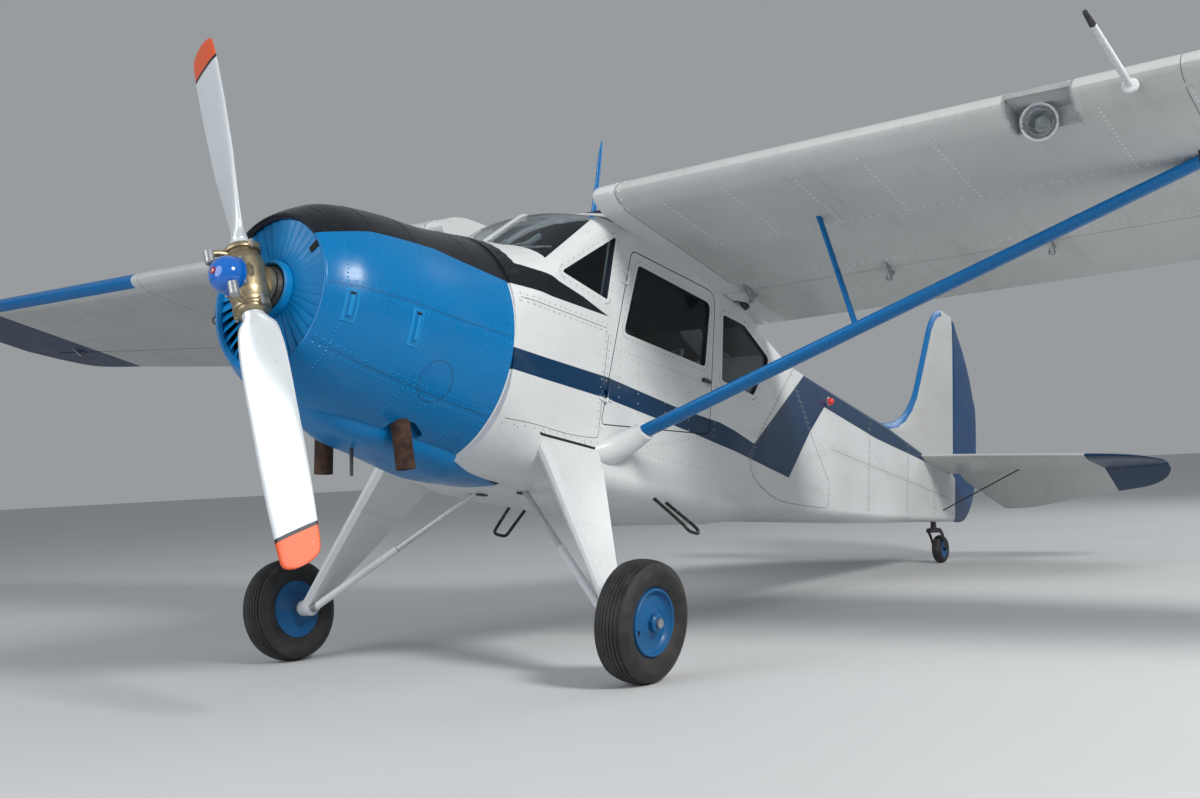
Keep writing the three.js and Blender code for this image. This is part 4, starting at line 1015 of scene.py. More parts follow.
def make_materials():
    painted("fuselage_paint", WHITE, [(side_stripe, STRIPE_BLUE), (nose_deck, DECK_BLACK)])
    painted("white_paint", WHITE)
    painted("wing_paint", SHADE_DARKENED_GREY, [(wing_blue_nose, STRUT_BLUE), (wing_tips, STRIPE_BLUE),
                                       (wing_root, WHITE)], rough=0.34)
    painted("cowl_paint", COWL_BLUE, [(cowl_deck, DECK_BLACK)], rough=0.26, dirt=0.2, dents=0.1)
    painted("blue_paint", COWL_BLUE, rough=0.28, dirt=0.2)
    painted("smooth_white", WHITE, dirt=0.15, dents=0.0)
    painted("shutter_paint", LIT_SHUTTER_BLUE, rough=0.3, dirt=0.1)
    # Lighter blue for rivet heads and latch rims on the cowl: a painted highlight.
    painted("painted_highlight_blue", (0.008, 0.215, 0.50), rough=0.3, dirt=0.1)
    # Mid-grey rivet heads on the white skin: painted shade round each head.
    painted("rivet_painted_shade", (0.36, 0.37, 0.375), rough=0.35, dirt=0.1)
    # Light rivet heads on the grey wing: a painted highlight.
    painted("rivet_painted_highlight", (0.78, 0.79, 0.79), rough=0.35, dirt=0.1)
    painted("strut_paint", STRUT_BLUE, rough=0.24, dirt=0.12, dents=0.05)
    painted("fin_paint", SHADE_DARKENED_GREY, [(fin_band, STRUT_BLUE)])
    painted("rudder_paint", RUDDER_BLUE, rough=0.3)
    painted("tail_paint", SHADE_DARKENED_GREY, [(tail_tips, STRIPE_BLUE)])
    painted("wheel_paint", (0.008, 0.100, 0.26), rough=0.4, dirt=0.6, dents=0.05)
    painted("dome_paint", (0.002, 0.12, 0.50), rough=0.12, dirt=0.02, coat=1.0, dents=0.0)

    blade = Look("blade_paint")
    out = blade_out(blade)
    base = blade.mix(blade.noise(3, 4), (0.58, 0.62, 0.64), (0.68, 0.72, 0.74))
    base = blade.mix(blade.above(out, BLADE_LINE_OUT), base, DECK_BLACK)
    base = blade.mix(blade.above(out, BLADE_TIP_OUT), base, (0.74, 0.095, 0.018))
    chips = blade.spread(blade.noise(90, 4, (1, 1, 0.4)), 0.66, 0.70)
    base = blade.mix(blade.calc("MULTIPLY", chips, 0.5), base, (0.2, 0.2, 0.2))
    blade.finish(base, 0.3, [(blade.noise(300, 2), 0.03, 0.001)], Metallic=0.25, Coat_Weight=0.2)

    metal("bronze", (0.36, 0.30, 0.19), 0.38, 0.85, 0.5, 40, 0.2)
    metal("steel", (0.42, 0.43, 0.45), 0.38, 0.9)
    metal("bright_metal", (0.72, 0.73, 0.74), 0.25, 0.9, 0.15)
    metal("dark_metal", (0.06, 0.06, 0.065), 0.5, 0.7, 0.4)
    metal("brace_metal", (0.50, 0.51, 0.52), 0.45, 0.3, 0.12, 20, 0.02)
    metal("red_metal", (0.45, 0.02, 0.015), 0.35, 0.4)

    rubber = Look("rubber")
    scuff = rubber.spread(rubber.noise(14, 7), 0.45, 0.75)
    base = rubber.mix(scuff, (0.011, 0.011, 0.012), (0.040, 0.037, 0.034))
    rubber.finish(base, rubber.calc("MULTIPLY_ADD", scuff, 0.2, 0.62), [(rubber.noise(160, 4), 0.25, 0.001)])

    mottled("exhaust_rust", (24, 8), (0.022, 0.014, 0.012), (0.085, 0.040, 0.024), 0.85, (90, 6, 0.4, 0.002),
            (0.35, 0.62), Metallic=0.3)
    mottled("black_paint", (30, 6), (0.012, 0.012, 0.013), (0.06, 0.06, 0.06), 0.45, (120, 3, 0.08, 0.001),
            (0.55, 0.7))
    mottled("worn_black", (70, 6), (0.014, 0.014, 0.015), (0.22, 0.22, 0.21), 0.4, (90, 3, 0.1, 0.001),
            (0.60, 0.68), Metallic=0.3)
    # Near black: painted shade in the holes, slots and hollows it fills, and the real black of the dial
    # faces.
    mottled("painted_shade_and_black", (20, 3), (0.004, 0.004, 0.005), (0.012, 0.012, 0.013), 0.9)
    mottled("seam_dark", (50, 4), (0.07, 0.075, 0.08), (0.22, 0.22, 0.22), 0.7)
    mottled("seam_blue", (50, 4), (0.001, 0.045, 0.12), (0.002, 0.080, 0.21), 0.6)
    mottled("fabric_seam", (40, 4), (0.025, 0.027, 0.034), (0.045, 0.048, 0.056), 0.85)
    # Dark navy cabin lining; on the cut edges round the door and windows it is painted shade in the gaps.
    mottled("lining_and_gap_shade", (6, 5), (0.008, 0.014, 0.030), (0.013, 0.022, 0.042), 0.8, (200, 3, 0.1, 0.001))
    mottled("tube_grey", (8, 4), (0.26, 0.32, 0.34), (0.33, 0.39, 0.41), 0.45, (160, 3, 0.06, 0.001))
    mottled("floor_pale", (0.6, 4), (0.52, 0.53, 0.54), (0.58, 0.59, 0.595), 0.75, (40, 3, 0.02, 0.01))

    fabric = Look("seat_fabric")
    weave = fabric.calc("MULTIPLY", fabric.calc("SINE", fabric.calc("MULTIPLY", fabric.x, 2200)),
                        fabric.calc("SINE", fabric.calc("MULTIPLY", fabric.y, 2200)))
    base = fabric.mix(fabric.noise(12, 5), (0.055, 0.06, 0.075), (0.085, 0.09, 0.105))
    fabric.finish(base, 0.9, [(weave, 0.25, 0.001)], Sheen_Weight=0.3)

    for name, tint, rough in (("glass", (0.72, 0.78, 0.80), 0.02), ("lamp_glass", (0.98, 0.99, 1.0), 0.01)):
        glass = Look(name)
        haze = glass.spread(glass.noise(7, 5), 0.4, 0.9, rough, rough + 0.05)
        glass.finish(tint, haze, Transmission_Weight=1.0, IOR=1.18)

    lens = Look("red_lens")
    lens.finish((0.75, 0.02, 0.015), 0.12, [(lens.noise(200, 2), 0.05, 0.001)], Coat_Weight=0.6)


# Nose


def add_cowl():
    rear = COWL_ROWS[-1]
    lip = [(0.352 + 0.011 * (1 - math.cos(a)), -0.130 + 0.008 * math.sin(a))
           for a in (math.pi * k / 6 for k in range(7))]
    rings = [cowl_ring(round_row(x, r)) for r, x in lip[:-1]]
    rings += [cowl_ring(row) for row in COWL_ROWS]
    rings += [cowl_ring(row, COWL_WALL) for row in reversed([r for r in COWL_ROWS if r[0] < -0.25])]
    rings += [cowl_ring(round_row(-0.178, 0.346)), cowl_ring(round_row(-0.136, 0.346))]
    shell = loft(rings, wrap=True)
    port = rounded([(-0.699, 0.205, 0.008), (-0.764, 0.151, 0.02), (-0.896, 0.241, 0.012),
                    (-0.898, 0.270, 0.010), (-0.801, 0.306, 0.03), (-0.705, 0.256, 0.012)], 3)
    hole = slab(port, -0.66, -0.40, plan_view)
    shell = carved(shell, [hole, mirrored(hole)])
    piece("cowl_skin", "airframe", {"cowl_paint": shell}, ["cowl"])

    dark, heads = [], []
    for angle in (math.radians(1), math.radians(179), math.radians(-38), math.radians(-142)):
        dark.append(strip([cowl_spot(lerp(-0.135, -1.150, k / 24), angle) for k in range(25)], 0.004))
        for offset in (0.026, -0.026):
            heads += [cowl_spot(lerp(-0.15, -1.14, k / 34), angle + offset / SEAM_RADIUS) for k in range(35)]
    for x in (-0.205, -0.372, -0.612, -0.985, -1.135):
        for k in range(58):
            angle = math.radians(-75 + k * 2.6)
            heads += [cowl_spot(x, angle), cowl_spot(x, math.pi - angle)]

    def round_panel(long, wide, count, starboard):
        """Places round the oval panel on a side of the cowl; wide is an angle."""
        ring = [(PANEL_X + long * math.cos(a), PANEL_ANGLE + wide * math.sin(a)) for a in circle(count)]
        return [cowl_spot(x, math.pi - a if starboard else a) for x, a in ring]
    for starboard in (False, True):
        dark.append(strip(round_panel(0.095, 0.19, 30, starboard), 0.004, loop=True))
        heads += round_panel(0.113, 0.226, 26, starboard)
    piece("cowl_seams", "airframe", {"seam_blue": dark})
    blue, black = [], []
    # Heads below the black deck take the lighter blue, a painted highlight.
    for p, n in heads:
        (blue if p.z < 0.20 else black).append((p, n))
    piece("cowl_rivets", "airframe",
          {"painted_highlight_blue": studs(blue, 0.0052, 0.0026), "cowl_paint": studs(black, 0.0052, 0.0026)})

    latches = []
    for x in (-0.230, -0.560):
        for side in (0, 1):
            for low, high, wide, lift in ((-0.35, -0.02, 0.066, 0.0030), (-0.33, -0.04, 0.054, 0.0042),
                                          (-0.29, -0.08, 0.022, 0.0110), (-0.075, -0.052, 0.030, 0.0050)):
                spots = [cowl_spot(x, lerp(low, high, k / 6)) for k in range(7)]
                if side:
                    spots = [(Vector((p.x, -p.y, p.z)), Vector((n.x, -n.y, n.z))) for p, n in spots]
                latches.append(strip(spots, wide, lift))
    # Each latch's outer plate and middle bar are lighter blue, a painted highlight; its small dark strip is
    # painted shade.
    piece("cowl_latches", "airframe", {"painted_highlight_blue": latches[::4] + latches[2::4],
                                                    "cowl_paint": latches[1::4], "painted_shade_and_black": latches[3::4]})

    petals = []
    for k in range(SHUTTERS):
        middle = (k + 0.5) / SHUTTERS * math.tau
        tilt = math.radians(lerp(8, 30, min(1, max(0, 1.6 - abs(math.degrees(middle) - 212) / 30))))
        out = Vector((0, math.cos(middle), math.sin(middle)))
        round_ = Vector((0, -math.sin(middle), math.cos(middle)))
        slope = round_ * math.cos(tilt) + FORWARD * math.sin(tilt)
        face = FORWARD * math.cos(tilt) - round_ * math.sin(tilt)
        rows = []
        for t in (0.0, 0.5, 1.0):
            radius = lerp(0.136, 0.3455, t)
            half = radius * math.pi / SHUTTERS * PETAL_OVERLAP
            centre = Vector((-0.152, 0, COWL_CENTRE * t)) + out * radius
            rows.append([centre - slope * half - face * 0.0008, centre - face * 0.0022,
                         centre + slope * half - face * 0.0008, centre + slope * half + face * 0.0008,
                         centre + face * 0.0038, centre - slope * half + face * 0.0008])
        petals.append(loft(rows))
    slot = math.radians(36)
    out, across = Vector((0, math.cos(slot), math.sin(slot))), Vector((0, -math.sin(slot), math.cos(slot)))
    opening = []
    for r, half in ((0.282, 0.015), (0.336, 0.017)):
        middle = Vector((-0.144, 0, COWL_CENTRE * 0.8)) + out * r
        opening.append([middle - across * half, middle + across * half,
                        middle + across * half - Vector((0.006, 0, 0)),
                        middle - across * half - Vector((0.006, 0, 0))])
    collar = lathe([(0.1103, 0.0), (0.1103, 0.044), (0.118, 0.050), (0.130, 0.046), (0.133, 0.036),
                    (0.133, 0.0), (0.1103, 0.0)], (-0.162, 0, 0), FORWARD, 64)
    back = lathe([(0.112, 0.0), (0.345, 0.0), (0.345, 0.004), (0.112, 0.004), (0.112, 0.0)],
                 (-0.186, 0, -0.010), FORWARD, 64)
    # Petals and collar take the lighter shutter blue, painted light; the disc behind them and the open slot
    # are near black, painted shade.
    piece("shutters", "airframe", {"shutter_paint": [*petals, collar],
                                                "painted_shade_and_black": [back, loft(opening)]}, ["shutter_disc"])

    def belly_ring(x, across, high, low, edge=0.0):
        def full(value):
            return math.copysign(abs(value) ** 0.6, value)
        return [Vector((x, (across - edge) * full(math.cos(a)),
                        high + (high - low - edge) * min(0, full(math.sin(a))))) for a in circle(48)]
    rows = smooth_rows(metres([(-330, 100, -400, -506), (-560, 180, -450, -612), (-850, 230, -480, -655),
                               (-1157, 260, -500, -706), (-1300, 258, -500, -712),
                               (-1600, 235, -560, -698)]), 5)
    _, *last = rows[-1]
    mouth = loft([belly_ring(-1.540, *last, 0.008), belly_ring(-1.660, *last, 0.008)])
    fairing = carved(loft([belly_ring(*row) for row in rows]), [mouth])
    # The faces inside the open mouth are near black: painted shade.
    hollow, fairing = parted(fairing, lambda p: -1.5999 < p.x < -1.539 and p.z > last[2] + 0.0078)
    piece("belly_fairing_skin", "airframe", {"blue_paint": fairing, "painted_shade_and_black": hollow},
          ["belly_fairing"])

    start, along = Vector((-0.736, 0.249, -0.420)), Vector((-0.061, 0.032, -0.315))
    reach = along.length
    pipe = lathe([(0.039, 0), (0.045, 0), (0.046, 0.03), (0.046, reach - 0.004), (0.044, reach),
                  (0.039, reach), (0.039, 0)], start, along, 40)
    # A near-black plug inside the pipe: painted shade.
    plug = bar(start + along * 0.22, start + along * 0.25, 0.039)
    pair("exhaust_pipe", "airframe", {"exhaust_rust": pipe, "painted_shade_and_black": plug},
         ["exhaust_SIDE"])


LEAN = Matrix.Rotation(BLADE_LEAN, 4, "X")


def add_propeller():
    stations = smooth_rows(metres([
        (178, 100, 100), (204, 116, 90), (240, 170, 66), (300, 194, 52), (400, 213, 42), (650, 229, 30),
        (950, 234, 22), (1200, 221, 16), (1300, 207, 13), (1335, 186, 11), (1353, 138, 9), (1363.5, 66, 7),
    ]), 5)
    pitches = [(0.178, 38), (0.204, 37), (0.240, 35), (0.3, 31), (0.4, 27), (0.65, 18), (0.95, 14),
               (1.2, 11.7), (1.366, 11.7)]
    rings = []
    for out, chord, thick in stations:
        turn = math.radians(curve_at(pitches, out))
        flat = min(1, max(0, (out - 0.23) / 0.12))
        ring = []
        for a in circle(32):
            along = math.cos(a) * chord / 2 - 0.009 * min(1, max(0, (out - 0.178) / 0.026))
            across = math.sin(a) * thick / 2 * (1 + 0.3 * flat * math.cos(a))
            if across < 0:
                across *= 1 - 0.35 * flat
            ring.append(Vector((along * math.sin(turn) + across * math.cos(turn),
                                along * math.cos(turn) - across * math.sin(turn), out)))
        rings.append(ring)
    for name, half in (("upper", 0), ("lower", math.pi)):
        spin = LEAN @ Matrix.Rotation(half, 4, "X")
        piece(f"propeller_blade_{name}", "propeller",
              {"blade_paint": moved(loft(rings), spin)}, [f"blade_{name}"])

    barrel = lathe(even([(0, -0.176), (0.060, -0.176), (0.066, -0.172), (0.073, -0.160), (0.073, -0.128),
                         (0.078, -0.112), (0.086, -0.098), (0.090, -0.070)], [(0.091, 0.0)], closed=False),
                   (0, 0, 0), UP, 48)
    bronze, steel = [barrel], []
    for z in (-0.146, 0.146, -0.075, 0.075):
        bronze.append(lathe(even([(0.070, -0.010), (0.083, -0.008)], [(0.085, 0)]), (0, 0, z), UP, 48))
    for z in (-0.146, 0.146):
        for side in (1, -1):
            bronze.append(block((-0.028, side * 0.078 - 0.014, z - 0.015),
                                (0.028, side * 0.078 + 0.014, z + 0.015), 0.003))
            steel.append(lathe([(0, -0.020), (0.009, -0.020), (0.009, 0.020), (0, 0.020)],
                               (0.014, side * 0.088, z), UP, 6))
    for y in (-0.062, 0.062):
        for z in (-0.062, 0.062):
            steel.append(lathe([(0, 0), (0.011, 0), (0.011, 0.012), (0.007, 0.016), (0, 0.016)],
                               (0.062, y, z), FORWARD, 6))
    flange = lathe([(0, -0.100), (0.078, -0.100), (0.090, -0.092), (0.090, -0.070), (0.074, -0.060),
                    (0.074, 0.020), (0.088, 0.030), (0.088, 0.045), (0.070, 0.062), (0, 0.062)], (0, 0, 0),
                   FORWARD, 48)
    bronze.append(flange)
    for side in (1, -1):
        arm = bent([(0.030, -side * 0.020, side * 0.128), (0.090, -side * 0.034, side * 0.138),
                    (0.138, -side * 0.056, side * 0.132)], 0.4)
        bronze.append(tube(arm, [lerp(0.020, 0.014, k / (len(arm) - 1)) for k in range(len(arm))], 16))
        steel.append(lathe([(0, -0.034), (0.018, -0.034), (0.023, -0.029), (0.023, 0.030), (0.019, 0.034),
                            (0.009, 0.034), (0.008, 0.028), (0, 0.028)],
                           (0.138, -side * 0.056, side * 0.114), (0, 0, -side), 24))
    dome = lathe([(0, 0.0), (0.066, 0.0), (0.079, 0.012), (0.085, 0.032), (0.085, 0.050), (0.081, 0.070),
                  (0.071, 0.090), (0.056, 0.106), (0.036, 0.117), (0.018, 0.121), (0, 0.122)], (0.060, 0, 0),
                 FORWARD, 64)
    band = lathe([(0.080, 0.010), (0.0875, 0.012), (0.0875, 0.022), (0.080, 0.024), (0.080, 0.010)],
                 (0.060, 0, 0), FORWARD, 64)
    nut = lathe([(0, 0), (0.016, 0), (0.016, 0.006), (0, 0.006)], (0.180, 0, 0), FORWARD, 6)
    tip = lathe([(0, 0), (0.008, 0), (0.007, 0.004), (0, 0.0048)], (0.182, 0, 0), FORWARD, 16)
    looks = {"bronze": bronze, "steel": steel, "dome_paint": [dome, band], "red_metal": [nut],
             "bright_metal": [tip]}
    piece("propeller_head", "propeller",
          {look: [moved(part, LEAN) for part in parts] for look, parts in looks.items()}, ["propeller_hub"])


# Cabin and fuselage


def wing_centre(margin=0.0):
    half = WING_ROOT_Y - TOUCH + margin
    whole = loft([wing_section(y, thick=1, margin=margin) for y in (-half, -0.40, 0.40, half)])
    return carved(whole, [block((ROOF_REAR_X - TOUCH + margin, -HALF_BEYOND, 0),
                                (0, HALF_BEYOND, ABOVE_ALL))])


def above_wing():
    """The space over the cabin behind the glass roof, and beside the roof."""
    def space(front, rear, low, high):
        outline = [(x, underside(x, WING_ROOT_Y) - TOUCH)
                   for x in (front, rear)] + [(rear, ABOVE_ALL), (front, ABOVE_ALL)]
        return slab(outline, low, high)
    beside = space(WING_NOSE_X + 0.020, ROOF_REAR_X - 0.001, WING_ROOT_Y - TOUCH, HALF_BEYOND)
    return [space(ROOF_REAR_X, WING[0][2], -HALF_BEYOND, HALF_BEYOND), beside, mirrored(beside)]


def side_hole(corners, growth=0.0):
    outline = rounded(corners)
    return slab(grown(outline, growth) if growth else outline, 0.25, 0.70)


def screen_hole(growth=0.0):
    ahead, behind, half = SCREEN_FRONT_X + growth, SCREEN_REAR_X - growth, SCREEN_HALF + growth
    whole = slab([(ahead, -half), (ahead, half), (behind, half), (behind, -half)], 0.380, 1.0, plan_view)
    across = POST_HALF - growth
    return carved(whole, [block((POST_REAR_X + growth, -across, 0), (0, across, ABOVE_ALL))])


def door_front_x(z, forward=0.0):
    low, high = DOOR[0], DOOR[1]
    return low[0] + (high[0] - low[0]) * (z - low[1]) / (high[1] - low[1]) + forward


def add_fuselage():
    inner = hull(FIREWALL_X - 0.030, BULKHEAD_X - 0.020, WALL)
    cuts = [inner, wing_centre(TOUCH), *above_wing()]
    shell = carved(hull(FIREWALL_X, BULKHEAD_X), cuts)
    window, quarter, rear = (side_hole(shape) for shape in (DOOR_WINDOW, QUARTER_WINDOW, REAR_WINDOW))
    door_hole = side_hole(DOOR, RUNNING)
    holes = [shape for part in (door_hole, quarter, rear) for shape in (part, mirrored(part))]
    fixed = carved(shell, [*holes, screen_hole()])
    knuckles = door_hinges()

    # Faces under the skin take the dark lining: the cabin's inside, and the cut edges round the door and
    # window holes as painted shade in the gaps.
    def lined_or_gap_shaded(p):
        post = abs(p.y) < 0.030 and p.z > 0.50
        rear_top = p.x < -3.30 and p.z > underside(p.x, WING_ROOT_Y) - 0.004
        return buried(p) and p.x < FIREWALL_X - 0.002 and not post and not rear_top
    inside, outside = parted(fixed, lined_or_gap_shaded)
    piece("cabin_shell", "airframe",
          {"fuselage_paint": [outside, both(knuckles["post"]), skirt()], "lining_and_gap_shade": inside},
          ["nose_section", "windscreen_frame", "cabin_floor", "cabin_side_left", "cabin_side_right"])
    relief = block((-2.120, 0.400, -0.350), (-1.900, 0.546, -0.318))
    # The door's inside and its cut edges take the dark lining, the edges as painted shade in the gap.
    inside, outside = parted(carved(shell, [window, relief], [side_hole(DOOR)]), buried)
    pair("door_leaf", "door_SIDE",
         {"fuselage_paint": [outside, knuckles["door"]], "lining_and_gap_shade": inside}, ["door_SIDE"])

    skin = carved(hull(FIREWALL_X - 0.020, BULKHEAD_X + 0.020, PANE_INSET),
                  [hull(FIREWALL_X - 0.010, BULKHEAD_X + 0.010, PANE_INSET + PANE), wing_centre(TOUCH),
                   *above_wing()])
    piece("windscreen_pane", "airframe", {"glass": carved(skin, [], [screen_hole(-TOUCH)])},
          ["windscreen"])
    for name, shape, body in (("quarter_window", QUARTER_WINDOW, "airframe"),
                              ("rear_window", REAR_WINDOW, "airframe"),
                              ("door_window", DOOR_WINDOW, "door_SIDE")):
        pair(f"{name}_pane", body, {"glass": carved(skin, [], [side_hole(shape, -TOUCH)])},
             [f"{name}_SIDE"])

    tail = hull(BULKHEAD_X - TOUCH, TAIL_POST_X)
    piece("tail_boom", "airframe", {"fuselage_paint": tail}, ["rear_fuselage"])
    add_skin_details()

    def in_cabin(p):
        low = p.z < underside(p.x, WING_ROOT_Y) + 0.005 and (p.x > -3.30 or abs(p.y) < 0.40)
        return low or p.x > ROOF_REAR_X - 0.002
    ceiling, centre = parted(wing_centre(), in_cabin)
    mast = [Vector((lerp(-2.462, -2.520, k / 8), 0, lerp(0.900, 1.566, k / 8))) for k in range(9)]
    rings = []
    for k, p in enumerate(mast):
        r = lerp(0.026, 0.015, k / 8) * (0.4 if k == 8 else 1)
        rings.append([p + Vector((math.cos(a) * r, math.sin(a) * r * 0.45, 0)) for a in circle(20)])
    piece("wing_centre_skin", "airframe",
          {"white_paint": centre, "lining_and_gap_shade": ceiling, "strut_paint": loft(rings)}, ["wing_centre"])


def add_skin_details():
    """Seams, rivets and small fittings on the fuselage's skin."""
    def smooth(path, steps=5):
        return [tuple(row) for row in smooth_rows([list(p) for p in path], steps)]
    seams = [[(-4.23, 0.34), (-4.53, 0.065), (-4.91, -0.23), (-4.90, -0.40)],
             smooth([(-4.20, 0.453), (-3.97, 0.215), (-3.63, -0.146), (-3.54, -0.281), (-3.66, -0.40),
                     (-4.07, -0.47), (-4.86, -0.414)]),
             smooth([(-1.20, -0.432), (-1.596, -0.439), (-1.86, -0.421), (-1.90, -0.40), (-1.905, -0.36)]),
             [(-1.905, -0.36), (-1.925, -0.10), (-1.945, 0.15)],
             [(-1.21, 0.173), (-1.60, 0.180), (-1.93, 0.184)], [(-5.75, 0.40), (-5.75, -0.36)],
             [(-6.70, 0.38), (-6.70, -0.26)], [(-7.45, 0.33), (-7.45, -0.18)],
             [(-4.92, 0.02), (-7.95, 0.06)]]
    rows = seams[:2] + seams[3:]
    lines = [strip(hull_line(path, 0.04), 0.0042) for path in seams]
    heads = []
    for path in rows:
        for shift in (0.020, -0.020):
            level = abs(path[0][0] - path[-1][0]) > abs(path[0][1] - path[-1][1])
            heads += hull_line([(x, z + shift) if level else (x + shift, z) for x, z in path], 0.045)
    heads += hull_line([(-1.20, 0.155), (-1.92, 0.165)], 0.05)
    heads += hull_line([(-3.06, -0.30), (-3.06, 0.09)], 0.045)
    heads += hull_line([(-3.08, 0.09), (-3.50, 0.075), (-3.92, 0.06)], 0.045)
    heads += hull_line([(-1.20, -0.455), (-1.90, -0.445)], 0.06)
    for shape, out in ((QUARTER_WINDOW, 0.026), (REAR_WINDOW, 0.030)):
        heads += hull_line(grown(rounded(shape), out), 0.05, loop=True)
    patch = [(-2.18, -0.43), (-2.915, -0.242), (-2.93, -0.43)]
    heads += hull_line(patch, 0.045, loop=True)
    for x in (-1.28, -1.45, -1.62, -1.79):
        heads.append(hull_spot(x, -0.462))
    pair("fuselage_seams", "airframe", {"seam_dark": lines})
    # The rivet heads are mid-grey on the white skin: painted shade.
    pair("fuselage_rivets", "airframe", {"rivet_painted_shade": studs(heads, 0.0050, 0.0022)})

    doors = hull_line(grown(rounded(DOOR_WINDOW), 0.026), 0.045, loop=True)
    doors += hull_line([(-2.02, 0.090), (-2.97, 0.090)], 0.042)
    for x in (-2.060, -2.244, -2.514, -2.767):
        doors += hull_line([(x, 0.05), (x - 0.01, -0.22)], 0.05)
    handle = slab(rounded([(-2.900, 0.088, 0.004), (-2.985, 0.092, 0.004), (-2.985, 0.108, 0.004),
                           (-2.900, 0.112, 0.004)]), 0.552, 0.572, chamfer=0.003)
    keeper = slab(rounded([(-2.960, 0.075, 0.006), (-2.995, 0.075, 0.006), (-2.995, 0.125, 0.006),
                           (-2.960, 0.125, 0.006)]), 0.545, 0.557, chamfer=0.002)
    # The door's rivet heads are mid-grey: painted shade.
    pair("door_trim", "door_SIDE",
         {"rivet_painted_shade": studs(doors, 0.0048, 0.0022), "dark_metal": handle, "steel": keeper})

    lamp = hull_spot(-4.85, 0.35)
    base = lathe([(0, -0.01), (0.034, -0.01), (0.034, 0.006), (0.028, 0.010), (0, 0.010)], lamp[0], lamp[1],
                 28)
    dome = lathe([(0.026, 0.008), (0.026, 0.020), (0.021, 0.034), (0.010, 0.042), (0, 0.043)], lamp[0],
                 lamp[1], 28)
    piece("side_lamp", "airframe", {"steel": base, "red_lens": dome})

    arm = [(-1.470, 0.09, 0.525), (-1.515, 0.15, 0.545), (-1.591, 0.25, 0.578), (-1.670, 0.35, 0.590)]
    wiper = [tube(bent(arm), 0.0075, 10), tube([Vector(p) + Vector((0.012, 0.01, 0.022)) for p in arm[:3]],
                                               0.006, 8), bar(Vector(arm[0]) - Vector((0, 0, 0.05)),
                                                              Vector(arm[0]) + Vector((0, 0, 0.02)), 0.016,
                                                              0.012, 18)]
    piece("wiper", "airframe", {"bright_metal": wiper})
    clamp = [block((-3.31, 0.548, 0.660), (-3.22, 0.592, 0.702), 0.006),
             lathe([(0, 0), (0.021, 0), (0.021, 0.06), (0.014, 0.066), (0, 0.066)], (-3.262, 0.585, 0.672),
                   (-0.4, 0.3, -0.5), 20)]
    pair("flap_drive", "airframe", {"dark_metal": clamp})
    # A near-black strip where the leg meets the fuselage: painted shade in the slot.
    slot = [(-1.415, -0.470), (-1.430, -0.476), (-1.700, -0.475), (-1.930, -0.475), (-1.965, -0.482)]
    pair("leg_slot", "airframe", {"painted_shade_and_black": strip(hull_line(slot, 0.04), 0.016)})
    drain = bar((-0.700, 0, -0.60), (-0.722, 0, -0.765), 0.010, 0.008, 16)
    piece("drain_pipe", "airframe", {"dark_metal": drain})


def hinge_frame(origin, axis):
    """Frame with its third axis along a hinge and its first one as far forward as it can be."""
    ahead = (FORWARD - axis * axis.x).normalized()
    return Matrix.Translation(origin) @ Matrix((ahead, axis.cross(ahead), axis)).transposed().to_4x4()


def door_hinges():
    """Knuckles of both door hinges, on the port side."""
    axis = Vector((DOOR[1][0] - DOOR[0][0], 0, DOOR[1][1] - DOOR[0][1])).normalized()
    y = hull_row(door_front_x(0))[0] + DOOR_HINGE_OUT
    made = {"door": [], "post": []}
    for z in DOOR_HINGE_HEIGHTS:
        origin = Vector((door_front_x(z, RUNNING / 2), y, z))
        m = hinge_frame(origin, axis)
        depth = DOOR_HINGE_OUT + 0.006

        def knuckle(low, high):
            return lathe([(0, low), (0.007, low), (0.008, low + 0.001), (0.008, high - 0.001), (0.007, high),
                          (0, high)], (0, 0, 0), UP, 16)
        made["door"] += [moved(p, m) for p in (knuckle(-0.020, 0.020),
                                               block((-0.055, -depth, -0.020),
                                                     (-RUNNING, -DOOR_HINGE_OUT + 0.006, 0.020), 0.001),
                                               block((-0.012, -DOOR_HINGE_OUT, -0.020), (0, 0, 0.020)))]
        for low, high in ((0.0203, 0.0403), (-0.0403, -0.0203)):
            made["post"] += [moved(p, m) for p in (knuckle(low, high),
                                                   block((RUNNING, -depth, low),
                                                         (0.055, -DOOR_HINGE_OUT + 0.006, high), 0.001),
                                                   block((0, -DOOR_HINGE_OUT, low), (0.012, 0, high)))]
    return {side: merged(*parts) for side, parts in made.items()}


# Wing


def raked_section(y, slope=0.46):
    """An aileron's outline. Its front leans back to clear the wing when its tail goes up."""
    front = hinge_x(y) - 0.012
    return [Vector((min(p.x, front - slope * (p.z - underside(p.x, y))), p.y, p.z))
            for p in wing_section(y, front=front, steps=10)]


